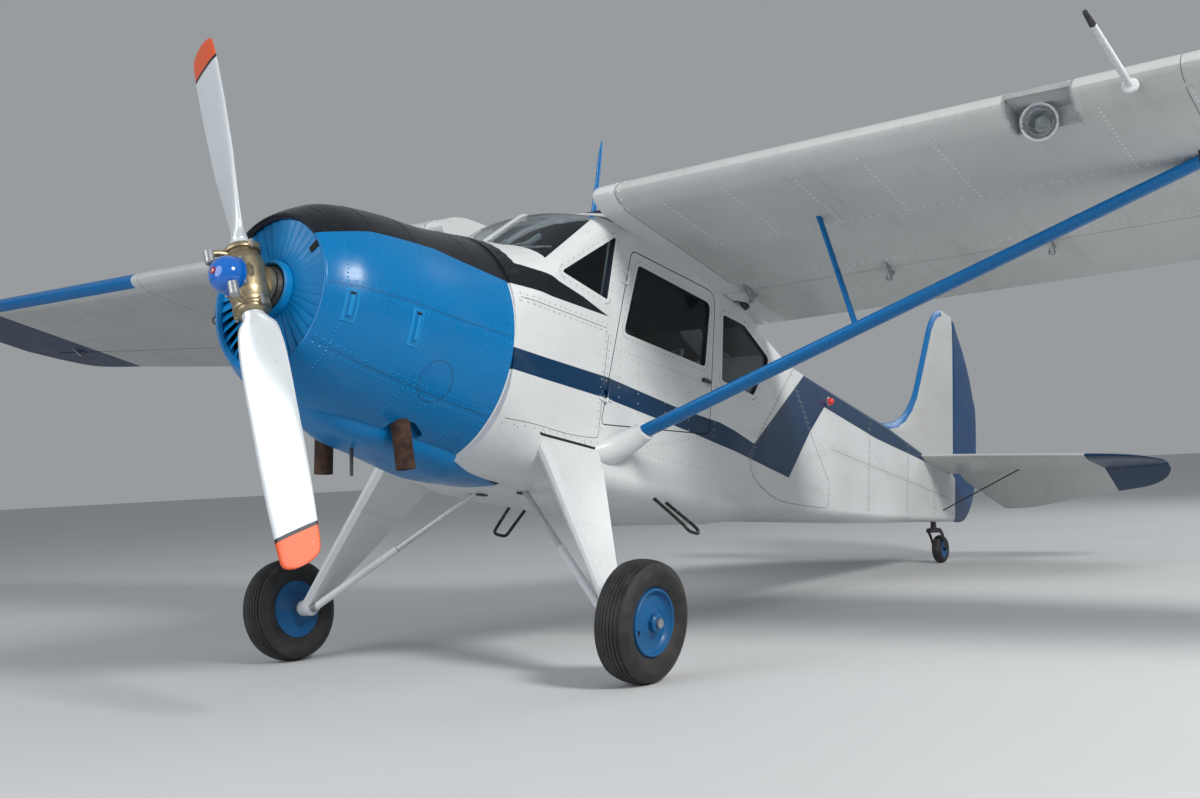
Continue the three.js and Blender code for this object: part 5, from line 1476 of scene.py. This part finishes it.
def add_wings():
    cut = [wing_section(y, rear=hinge_x(y) + 0.003) for y in span_places(WING_ROOT_Y, AILERON_END_Y)]
    tip = loft([wing_section(y) for y in span_places(AILERON_END_Y, TIP_Y, 0.05)])
    fixed = loft(cut)
    hollow = block((-1.930, LAMP_LOW, 0.70), (-1.60, LAMP_HIGH, 0.935))
    piece("wing_skin_left", "airframe", {"wing_paint": [carved(fixed, [hollow]), tip]},
          ["wing_left"])
    piece("wing_skin_right", "airframe", {"wing_paint": [mirrored(fixed), mirrored(tip)]},
          ["wing_right"])

    add_wing_details()

    flap = loft([wing_section(y, front=hinge_x(y) - 0.003, steps=10) for y in span_places(*FLAP_SPAN)])
    aileron = loft([raked_section(y) for y in span_places(*AILERON_SPAN)])
    flap_arms, aileron_arms, fixed_arms = [], [], []
    for stations, span, drop, arms in ((FLAP_HINGES, FLAP_SPAN, 0.045, flap_arms),
                                       (AILERON_HINGES, AILERON_SPAN, 0.0, aileron_arms)):
        for y in stations:
            still, moving = hanging_hinge(span, drop, y)
            fixed_arms.append(still)
            arms.append(moving)
    pair("flap_skin", "flap_SIDE", {"wing_paint": flap, "steel": flap_arms}, ["flap_SIDE"])
    pair("aileron_skin", "aileron_SIDE", {"wing_paint": aileron, "steel": aileron_arms},
         ["aileron_SIDE"])
    pair("wing_brackets", "airframe", {"steel": fixed_arms})


def add_wing_details():
    heads, seams = [], [strip(round_wing(ROOT_SEAM_Y, -3.0), 0.005), strip(round_wing(KINK_Y, -3.0), 0.004)]
    stations = [0.93 + 0.37 * k for k in range(12)]
    for y in stations:
        places = [lerp(-1.84, -2.44, k / 15) for k in range(16)]
        if not LAMP_LOW - 0.05 < y < LAMP_HIGH + 0.05:
            heads += [wing_spot(x, y) for x in places]
        heads += [wing_top(x, y) for x in places]
    for x in (-2.44, -2.98):
        for k in range(96):
            y = lerp(0.75, 5.40, k / 95)
            heads += [wing_spot(x, y), wing_top(x, y)]
    for y in (ROOT_SEAM_Y - 0.025, ROOT_SEAM_Y + 0.025):
        heads += round_wing(y, -2.9)[::3]
    # The light rivet heads are a painted highlight.
    pair("wing_rivets", "airframe", {"rivet_painted_highlight": studs(heads, 0.0058, 0.0024)})
    pair("wing_seams", "airframe", {"seam_dark": seams})

    middle = (LAMP_LOW + LAMP_HIGH) / 2
    centre, facing = LAMP_CENTRE, LAMP_FACING
    bowl = lathe([(0.030, -0.012), (0.060, 0.014), (0.078, 0.044), (0.084, 0.046), (0.084, 0.052),
                  (0.074, 0.052), (0.056, 0.022), (0.026, -0.004), (0, -0.006)], centre, facing, 40)
    bulb = lathe([(0, 0.0), (0.016, 0.0), (0.024, 0.018), (0.018, 0.036), (0.008, 0.044), (0, 0.045)],
                 centre, facing, 24)
    ring = lathe([(0.052, 0.020), (0.056, 0.024), (0.053, 0.028), (0.050, 0.024), (0.052, 0.020)], centre,
                 facing, 32)
    piece("landing_light", "airframe", {"bright_metal": bowl, "tube_grey": bulb, "steel": ring})
    rings = []
    for y in (LAMP_LOW - 0.012, LAMP_LOW, middle, LAMP_HIGH, LAMP_HIGH + 0.012):
        places = round_wing(y, -1.935)
        rings.append([p + n * 0.0004 for p, n in places] + [p - n * 0.0022 for p, n in reversed(places)])
    piece("landing_light_cover", "airframe", {"lamp_glass": loft(rings)})
    rim = []
    for y in (LAMP_LOW - 0.006, LAMP_HIGH + 0.006):
        rim += round_wing(y, -1.93)[::2]
    rim += [wing_spot(-1.94, lerp(LAMP_LOW, LAMP_HIGH, k / 8)) for k in range(9)]
    piece("landing_light_screws", "airframe", {"steel": studs(rim, 0.005, 0.0024)})

    base, tip = PITOT_BASE, PITOT_TIP
    mast = [bar(base, base.lerp(tip, 0.86), 0.0155, 0.0125, 24),
            lathe([(0, -0.01), (0.036, -0.01), (0.034, 0.004), (0.019, 0.012), (0, 0.012)],
                  base + Vector((0.028, 0, 0.002)), tip - base, 28)]
    head = bar(base.lerp(tip, 0.85), tip, 0.0140, 0.0100, 24)
    piece("pitot_mast", "airframe", {"smooth_white": mast, "dark_metal": head})
    x, y = TIE_DOWN
    eye = Vector((x, y, underside(x, y) - 0.030))
    ring = [eye + Vector((math.cos(a) * 0.022, 0, math.sin(a) * 0.026)) for a in circle(24)]
    pair("tie_down_ring", "airframe",
         {"dark_metal": [tube(ring, 0.005, 10, loop=True),
                         bar(eye + Vector((0, 0, 0.02)), eye + Vector((0, 0, 0.05)), 0.009)]})


def hanging_hinge(span, drop, y):
    """Bracket under the wing and the arm beside it, about a flap's or aileron's hinge axis."""
    def at(y):
        x = hinge_x(y)
        return Vector((x, y, underside(x, y) - 0.022 - drop))
    start, end = at(span[0]), at(span[1])
    here = start.lerp(end, (y - span[0]) / (span[1] - span[0]))
    axis = (start - end).normalized()
    m = hinge_frame(here, axis)
    up = underside(here.x, y) - here.z + 0.014

    def arm(low, high, foot):
        ring = [(-0.015, -0.004), (-0.010, -0.012), (0, -0.015), (0.010, -0.012), (0.015, -0.004),
                (foot + 0.045, up), (foot - 0.045, up)]
        return slab(ring, low, high, plan_view, 0.0015)
    bolt = lathe([(0, -0.012), (0.007, -0.012), (0.007, 0.024), (0, 0.024)], (0, 0, 0), UP, 6)
    return moved(merged(arm(-0.008, 0.008, 0.062), bolt), m), moved(arm(0.0083, 0.020, -0.066), m)


def add_struts():
    strut = bar(STRUT_FOOT, STRUT_TOP, 0.062, 0.050, 40, 0.5)
    rings = []
    for x, y, z, wide, tall in smooth_rows([[-1.945, 0.470, -0.500, 0.140, 0.050],
                                            [-1.985, 0.540, -0.482, 0.128, 0.058],
                                            [-2.055, 0.620, -0.425, 0.092, 0.058],
                                            [-2.100, 0.725, -0.352, 0.067, 0.044]], 5):
        rings.append([Vector((x + wide * math.cos(a), y - 0.4 * tall * math.sin(a), z + tall * math.sin(a)))
                      for a in circle(40)])
    shoe = loft(rings)
    jury = bar(JURY_FOOT, JURY_TOP, 0.024, sides=24, flatness=0.55)
    pair("wing_strut", "airframe", {"strut_paint": [strut, jury], "white_paint": shoe},
         ["strut_SIDE"])
    bolts = []
    for dx, dz in ((0.035, 0.0), (-0.035, 0.01), (0.0, -0.035)):
        bolts.append(lathe([(0, 0), (0.009, 0), (0.009, 0.010), (0.006, 0.013), (0, 0.013)],
                           (-2.090 + dx, 0.600, -0.365 + dz), (0, 0.45, 0.9), 6))
    plates = [lathe([(0, 0), (0.034, 0), (0.034, 0.006), (0, 0.006)], (-1.815, 0.145, -0.7115), UP, 20)]
    pair("strut_fittings", "airframe", {"steel": bolts, "dark_metal": plates})


# Main gear

AXLE_TILT = Vector((0, math.cos(CAMBER), -math.sin(CAMBER)))
AXLE = from_parked(*AXLE_PLACE)


def along_axle(distance):
    return AXLE + AXLE_TILT * distance


def add_gear():
    def section(front, rear, y, z, thick):
        outline = [(front, 0.30), (front - 0.020, 1), (rear + 0.026, 1), (rear, 0.35)]
        outline += [(x, -share) for x, share in reversed(outline)]
        return [Vector((x, y + share * thick, z + share * thick * 0.55)) for x, share in outline]
    rows = metres([(-1425, -1945, 500, -455, 34), (-1440, -1905, 590, -610, 32),
                   (-1410, -1530, 1035, -1335, 24), (-1425, -1495, 1062, -1380, 20)])
    leg = loft([section(*row) for row in rows])
    boss = lathe([(0, -0.190), (0.040, -0.190), (0.044, -0.186), (0.044, -0.112), (0.040, -0.1045),
                  (0, -0.1045)], AXLE, AXLE_TILT, 32)
    axle = bar(along_axle(-0.225), along_axle(0.070), AXLE_RADIUS, sides=24)
    pair("gear_leg_shape", "airframe", {"white_paint": [leg, boss], "steel": axle},
         ["gear_leg_SIDE"])

    foot = along_axle(-0.208)
    middle = foot.lerp(BRACE_HEAD, 0.5)
    lower = bar(foot, middle, 0.021)
    upper = bar(middle, BRACE_HEAD, 0.0165)
    pair("gear_brace_rod", "airframe", {"smooth_white": lower, "brace_metal": upper},
         ["gear_brace_SIDE"])

    half = TYRE_WIDTH / 2
    inner = RIM_RADIUS + TOUCH
    wall = [(inner, -0.062), (0.178, -0.078), (0.208, -half + 0.004), (0.225, -half), (0.245, -0.086),
            (0.258, -0.078)]
    tread = []
    for k in range(8):
        centre = lerp(-0.063, 0.063, k / 7)
        radius = TYRE_RADIUS - 0.012 * (abs(centre) / 0.063) ** 2
        tread += [(radius, centre - 0.0068), (radius, centre + 0.0068)]
        if k < 7:
            tread += [(radius - 0.006, centre + 0.0078), (radius - 0.006, centre + 0.0102)]
    tyre = lathe(even(wall, tread), AXLE, AXLE_TILT, 96)
    pair("tyre_rubber", "main_wheel_SIDE", {"rubber": tyre}, ["main_tyre_SIDE"], 28)

    bore = AXLE_RADIUS + 2 * TOUCH
    disc = lathe([(bore, -0.066), (0.100, -0.060), (0.140, -0.058), (0.157, -0.064), (0.157, 0.060),
                  (0.155, 0.070), (0.150, 0.074), (0.143, 0.072), (0.138, 0.060), (0.124, 0.046),
                  (0.098, 0.044), (0.070, 0.052), (0.055, 0.062), (bore, 0.064), (bore, -0.066)], AXLE,
                 AXLE_TILT, 72)
    cap = lathe([(0, 0.064), (0.044, 0.064), (0.044, 0.084), (0.038, 0.090), (0, 0.090)], AXLE, AXLE_TILT, 8)
    nut = lathe([(0, 0.090), (0.022, 0.090), (0.022, 0.104), (0.012, 0.108), (0, 0.108)], AXLE, AXLE_TILT, 24)
    u, v, w = axes(AXLE_TILT)
    # A near-black plug in the disc's hole: painted shade.
    hole = [lathe([(0, 0.03), (0.011, 0.03), (0.011, 0.0475), (0, 0.0480)],
                  AXLE + (u * 0.8 + v * 0.5) * 0.110, w, 18)]
    valve = lathe([(0.011, 0.040), (0.016, 0.040), (0.016, 0.050), (0.011, 0.051), (0.011, 0.040)],
                  AXLE + (u * 0.8 + v * 0.5) * 0.110, w, 18)
    pair("wheel_disc", "main_wheel_SIDE",
         {"wheel_paint": [disc, cap, valve], "steel": nut, "painted_shade_and_black": hole}, ["main_wheel_SIDE"])


# Tail

RUDDER_HINGE_X = -8.126
ELEVATOR_HINGE_X = -7.985
STAB_Z = 0.315
DROOP = math.radians(21.6)
NOSE_SHARE = 0.42


def setback(rows):
    return max(row[-1] for row in rows) * NOSE_SHARE + RUNNING


def leaf(nose, tail, thick, blunt=0.8, steps=14):
    """(x, offset) round a tail surface's fixed part: a round nose and a blunt rear edge."""
    chord = nose - tail
    made = []
    for k in range(steps + 1):
        t = (k / steps) ** 2
        made.append((nose - t * chord,
                     thick / 2 * min(1, 2.2 * math.sqrt(t)) * lerp(1, blunt, max(0, t - 0.4) / 0.6)))
    return made + [(x, -offset) for x, offset in reversed(made[1:])]


def control(back, thick, steps=10):
    """(ahead, offset) round a control surface, from its round nose to its thin tail."""
    radius = max(thick * NOSE_SHARE, 0.006)
    nose = [(radius * math.cos(a), radius * math.sin(a))
            for a in (math.pi / 2 * k / steps for k in range(steps, -1, -1))]
    side = [(-back * (1 - k / 8), lerp(0.003, radius, (k / 8) ** 0.8)) for k in range(8)]
    top = side + nose
    return top + [(x, -offset) for x, offset in reversed(top[:-1])]


def add_tail():
    edge = RUDDER_HINGE_X + setback(RUDDER)
    rings = [[Vector((x, offset, z)) for x, offset in leaf(nose, edge, thick)] for z, nose,
             thick in smooth_rows(FIN, 5)]
    piece("fin_skin", "airframe", {"fin_paint": loft(rings)}, ["fin"])
    rings = [[Vector((RUDDER_HINGE_X + ahead, offset, z)) for ahead,
              offset in control(RUDDER_HINGE_X - tail, thick)] for z, tail, thick in smooth_rows(RUDDER, 5)]
    piece("rudder_skin", "rudder", {"rudder_paint": loft(rings)}, ["rudder"])

    rows = smooth_rows(STAB[1:], 5)
    edge = ELEVATOR_HINGE_X + setback(STAB)
    half = [[Vector((x, y, STAB_Z + offset)) for x, offset in leaf(nose, edge, thick)]
            for y, nose, _, thick in [STAB[0], *rows]]
    other = [[Vector((p.x, -p.y, p.z)) for p in ring] for ring in reversed(half[1:])]
    piece("stabiliser_skin", "airframe", {"tail_paint": loft(other + half)}, ["stabiliser"])

    pivot = Vector((ELEVATOR_HINGE_X, 0, STAB_Z))
    droop = Matrix.Translation(pivot) @ Matrix.Rotation(-DROOP, 4, "Y") @ Matrix.Translation(-pivot)
    rings = [[Vector((ELEVATOR_HINGE_X + ahead, y, STAB_Z + offset)) for ahead,
              offset in control(back, thick)] for y, _, back, thick in rows]
    root = slab([(-7.900, 0), (-7.900, 0.130), (-8.060, 0.130), (-8.700, 0.330), (-8.700, 0)], 0, 0.7,
                plan_view)
    elevator = moved(carved(loft(rings), [root]), droop)
    pair("elevator_skin", "elevators", {"tail_paint": elevator}, ["elevator_SIDE"])
    stay = bar((-7.850, 0.740, 0.291), (-7.720, 0.060, -0.090), 0.009, sides=12, flatness=0.6)
    pair("tail_stay_rod", "airframe", {"dark_metal": stay}, ["tail_stay_SIDE"])


def add_tail_wheel():
    wheel = Vector((TAIL_WHEEL_X, 0, TAIL_TYRE_RADIUS))

    def hub_at(y):
        return from_parked(wheel.x, y, wheel.z)

    def pivot(height):
        return from_parked(wheel.x + TRAIL, 0, height)
    up = (pivot(1) - pivot(0)).normalized()
    parts = []
    for side in (1, -1):
        crown = from_parked(wheel.x + TRAIL, side * 0.056, 0.302)
        knee = from_parked(wheel.x + 0.075, side * 0.060, 0.262)
        path = bent([crown, knee, hub_at(side * 0.058)], 0.45)
        rings = []
        for i, p in enumerate(path):
            ahead = path[min(i + 1, len(path) - 1)] - path[max(i - 1, 0)]
            across = PORT
            wide = ahead.cross(across).normalized()
            r = lerp(0.024, 0.018, i / (len(path) - 1))
            rings.append([p + wide * math.cos(a) * r + across * math.sin(a) * 0.007 for a in circle(16)])
        parts.append(loft(rings))
    parts.append(lathe([(0, -0.020), (0.062, -0.020), (0.066, -0.012), (0.066, 0.010), (0.052, 0.016),
                        (0.030, 0.016), (0.028, 0.03), (0.024, 0.034), (0.024, 0.14), (0, 0.14)],
                       pivot(0.302), up, 32))
    parts.append(bar(hub_at(-0.066), hub_at(0.066), 0.012, sides=16))
    piece("tail_fork_shape", "tail_fork", {"dark_metal": parts}, ["tail_fork"])
    bore = 0.0126
    rim = lathe(even([(bore, -0.030), (0.060, -0.027), (0.070, -0.036), (0.074, -0.034)]), hub_at(0), PORT,
                48)
    tyre = lathe(even([(0.0745, -0.030), (0.082, -0.040), (0.092, -0.042), (0.104, -0.040), (0.116, -0.030),
                       (0.1235, -0.016), (TAIL_TYRE_RADIUS, -0.006), (0.122, -0.004)]), hub_at(0), PORT, 64)
    piece("tail_wheel_shape", "tail_wheel", {"rubber": tyre, "wheel_paint": rim}, ["tail_wheel"])


def add_steps():
    path = metres([(-2505, 500, -640), (-2572, 680, -795), (-2580, 699, -818), (-2600, 705, -830),
                   (-2680, 705, -834), (-2698, 699, -824), (-2704, 684, -800), (-2645, 500, -655)])
    pair("entry_step_tube", "airframe", {"worn_black": tube(bent(path, 0.35, 4), 0.010, 12)},
         ["entry_step_SIDE"])


# Cabin inside


def cushion(size, crown=0.35, pinch=0.05, steps=12):
    """Closed padded form, crowned, with its sides pulled in between the corners."""
    points, faces = [], []
    for face in range(6):
        base = len(points)
        for i in range(steps + 1):
            for j in range(steps + 1):
                a, b = 2 * i / steps - 1, 2 * j / steps - 1
                p = [(a, b, 1), (a, b, -1), (a, 1, b), (a, -1, b), (1, a, b), (-1, a, b)][face]
                x, y, z = p
                plump = (1 - crown) + crown * math.sqrt(max(0, (1 - x**4) * (1 - y**4)))
                shrink = 1 - 0.10 * z * z
                points.append((
                    x * shrink * (1 - pinch * (1 - y * y)) * size[0] / 2,
                    y * shrink * (1 - pinch * (1 - x * x)) * size[1] / 2,
                    z * plump * size[2] / 2,
                ))
        for i in range(steps):
            for j in range(steps):
                a = base + i * (steps + 1) + j
                faces.append((a, a + 1, a + steps + 2, a + steps + 1))
    return points, faces


def swollen(part, voxel, reach=0.012):
    """The padded form after its filling has pressed the cover out, no point further than reach."""
    base = as_object(part)
    remesh = base.modifiers.new("remesh", "REMESH")
    remesh.mode = "VOXEL"
    remesh.voxel_size = voxel
    start, faces = evaluated(base)
    base.modifiers.clear()
    fine = bpy.data.meshes.new("cover")
    fine.from_pydata(start, [], faces)
    rough, base.data = base.data, fine
    cloth = base.modifiers.new("cover", "CLOTH")
    cloth.settings.use_pressure = True
    cloth.settings.uniform_pressure_force = 4
    cloth.settings.effector_weights.gravity = 0
    cloth.collision_settings.use_collision = False
    for frame in range(1, 21):
        bpy.context.scene.frame_set(frame)
    ends, _ = evaluated(base)
    base.modifiers.clear()
    bpy.context.scene.frame_set(1)
    for vertex, a, b in zip(fine.vertices, start, ends):
        shift = b - a
        vertex.co = a + shift * min(1, reach / max(shift.length, 1e-9))
    smooth = base.modifiers.new("smooth", "SUBSURF")
    smooth.levels = 1
    points, faces = evaluated(base)
    bpy.data.objects.remove(base)
    for mesh in (rough, fine):
        bpy.data.meshes.remove(mesh)
    return points, faces


def sewn(part, size, channels):
    """Piping round the edge and seams across the face, lying on the cover."""
    cover = BVHTree.FromPolygons([tuple(p) for p in part[0]], part[1])
    ring = []
    for a in circle(96):
        x = math.copysign(abs(math.cos(a)) ** 0.35, math.cos(a)) * size[0] / 2
        y = math.copysign(abs(math.sin(a)) ** 0.35, math.sin(a)) * size[1] / 2
        spot, normal, _, _ = cover.find_nearest(Vector((x, y, size[2] * 0.30)))
        ring.append(spot + normal * 0.0005)
    made = [tube(ring, 0.0042, 8, loop=True)]
    for k in range(channels):
        x = lerp(-size[0] / 2, size[0] / 2, (k + 1) / (channels + 1))
        line = []
        for j in range(25):
            y = lerp(-0.45, 0.45, j / 24) * size[1]
            spot = cover.ray_cast(Vector((x, y, 1)), Vector((0, 0, -1)))[0]
            if spot:
                line.append(spot)
        made.append(tube(line, 0.0026, 8))
    return made


def add_cushions(name, sides, size, pitch, centre, voxel, channels):
    """A simulated cushion, placed once for each side, with its piping and seams."""
    part = cushion(size)
    part = swollen(part, voxel)
    lines = sewn(part, size, channels)
    for label, turn in sides:
        place = Matrix.Translation((centre[0], centre[1] * turn, centre[2])) @ Matrix.Rotation(pitch, 4, "Y")
        pad = piece(f"{name}{label}", "airframe", {"seat_fabric": moved(part, place)})
        piece(f"{name}_seams{label}", "airframe",
              {"fabric_seam": [moved(line, place) for line in lines]})


def add_interior():
    legs = []
    for y in (0.10, 0.44):
        legs.append(tube(bent([(-2.34, y, -0.664), (-2.32, y, -0.36), (-2.70, y, -0.36), (-2.72, y, -0.664)],
                              0.2), 0.012))
        legs.append(tube(bent([(-2.70, y, -0.36), (-2.76, y, -0.2), (-2.84, y, 0.28)], 0.3), 0.012))
    pair("front_seat_frame", "airframe", {"tube_grey": legs}, ["front_seat_SIDE"])
    chairs, bench = (("_left", 1), ("_right", -1)), (("", 1),)
    add_cushions("front_seat_pad", chairs, (0.405, 0.385, 0.075), 0.03, (-2.51, 0.27, -0.29), 0.008, 2)
    add_cushions("front_seat_back", chairs, (0.545, 0.385, 0.060), math.radians(82), (-2.775, 0.27, 0.02),
                 0.008, 3)
    add_cushions("rear_bench_pad", bench, (0.405, 0.785, 0.075), 0.03, (-3.37, 0, -0.30), 0.009, 2)
    add_cushions("rear_bench_back", bench, (0.445, 0.785, 0.060), math.radians(78), (-3.68, 0, -0.02), 0.009,
                 2)
    legs = [tube(bent([(-3.20, y, -0.664), (-3.20, y, -0.36), (-3.60, y, -0.36), (-3.62, y, -0.60)], 0.2),
                 0.012) for y in (-0.38, 0.38)]
    piece("rear_bench_frame", "airframe", {"tube_grey": legs}, ["rear_bench"])
    board = slab(rounded([(-0.500, 0.070, 0.03), (0.500, 0.070, 0.03), (0.500, 0.310, 0.06),
                          (-0.500, 0.310, 0.06)]), -1.556, -1.510, lambda u, v, w: (w, u, v), 0.004)
    dials, rims = [], []
    for y in (-0.36, -0.22, 0.0, 0.13, 0.26, 0.39):
        for z in (0.245, 0.130):
            rims.append(lathe([(0.040, 0), (0.046, 0), (0.046, 0.008), (0.040, 0.010), (0.040, 0)],
                              (-1.556, y, z), (-1, 0, 0), 28))
            dials.append(lathe([(0, 0.001), (0.040, 0.001), (0.040, 0.003), (0, 0.003)], (-1.556, y, z),
                               (-1, 0, 0), 28))
    piece("instrument_board", "airframe", {"black_paint": board, "steel": rims,
                                                          "painted_shade_and_black": dials}, ["instrument_panel"])
    tubes = []
    for y in (0.12, -0.12):
        tubes.append(tube([(-1.50, y, 0.47), (-1.84, y, 0.735)], 0.017))
    for y in (0.50, -0.50):
        tubes.append(tube([(-1.93, y, 0.20), (-2.01, y, 0.76)], 0.018))
        tubes.append(tube([(-1.22, y * 0.94, 0.16), (-1.93, y, 0.20)], 0.015))
    piece("cabin_tubes", "airframe", {"tube_grey": tubes})
    finish_engine()


def finish_engine():
    """The plain engine block stays: it shows only as dark metal behind the shutters."""
    node = frame["nodes"]["engine_block"]
    node.data.materials.clear()
    node.data.materials.append(MATERIALS["dark_metal"])


# Stage

FLOOR_REACH = 120
LIT_POINT = Vector((0.5, 0, 1.4))
# Lights: name, place, width, power, tint
LIGHTS = [
    ("key", (5.5, 12, 9), 3.5, 1750, (1.0, 0.98, 0.95)),
    ("fill", (13, -3, 5), 8, 620, (0.95, 0.97, 1.0)),
    ("back", (-13, 4, 9), 8, 560, (0.98, 0.99, 1.0)),
]
CAMERA_PLACE = (8.0803, 4.67, 0.972)
# Yaw, pitch and roll in degrees
CAMERA_ANGLES = (53.938, 3.102, -2.764)
CAMERA_LENS = 39.884


def add_stage():
    reach = FLOOR_REACH
    mesh = bpy.data.meshes.new("floor")
    corners = [(-reach, -reach, 0), (reach, -reach, 0), (reach, reach, 0), (-reach, reach, 0)]
    mesh.from_pydata(corners, [], [(0, 1, 2, 3)])
    mesh.materials.append(MATERIALS["floor_pale"])
    linked("floor", mesh)
    for name, spot, wide, power, tint in LIGHTS:
        light = bpy.data.lights.new(name, "AREA")
        light.shape = "DISK"
        light.size = wide
        light.energy = power
        light.color = tint
        lamp = linked(name, light)
        lamp.location = spot
        lamp.rotation_mode = "QUATERNION"
        lamp.rotation_quaternion = (LIT_POINT - lamp.location).to_track_quat("-Z", "Y")
    world = bpy.data.worlds.new("studio")
    bpy.context.scene.world = world
    world.use_nodes = True
    sky = world.node_tree.nodes["Background"]
    sky.inputs["Color"].default_value = (0.88, 0.92, 0.96, 1)
    sky.inputs["Strength"].default_value = 0.36
    bpy.context.scene.view_settings.view_transform = "Standard"


def add_camera():
    yaw, pitch, roll = (math.radians(angle) for angle in CAMERA_ANGLES)
    ahead = Vector((-math.sin(yaw) * math.cos(pitch), -math.cos(yaw) * math.cos(pitch), math.sin(pitch)))
    right = ahead.cross(UP).normalized()
    up = right.cross(ahead)
    across = right * math.cos(roll) + up * math.sin(roll)
    top = up * math.cos(roll) - right * math.sin(roll)
    data = bpy.data.cameras.new("camera")
    data.sensor_width = 36
    data.lens = CAMERA_LENS
    data.clip_end = 400
    camera = linked("camera", data)
    turn = Matrix((across, top, -ahead)).transposed().to_4x4()
    camera.matrix_world = Matrix.Translation(CAMERA_PLACE) @ turn
    bpy.context.scene.camera = camera


make_materials()
add_camera()
add_stage()
add_cowl()
add_propeller()
add_fuselage()
add_wings()
add_struts()
add_gear()
add_tail()
add_tail_wheel()
add_steps()
add_interior()
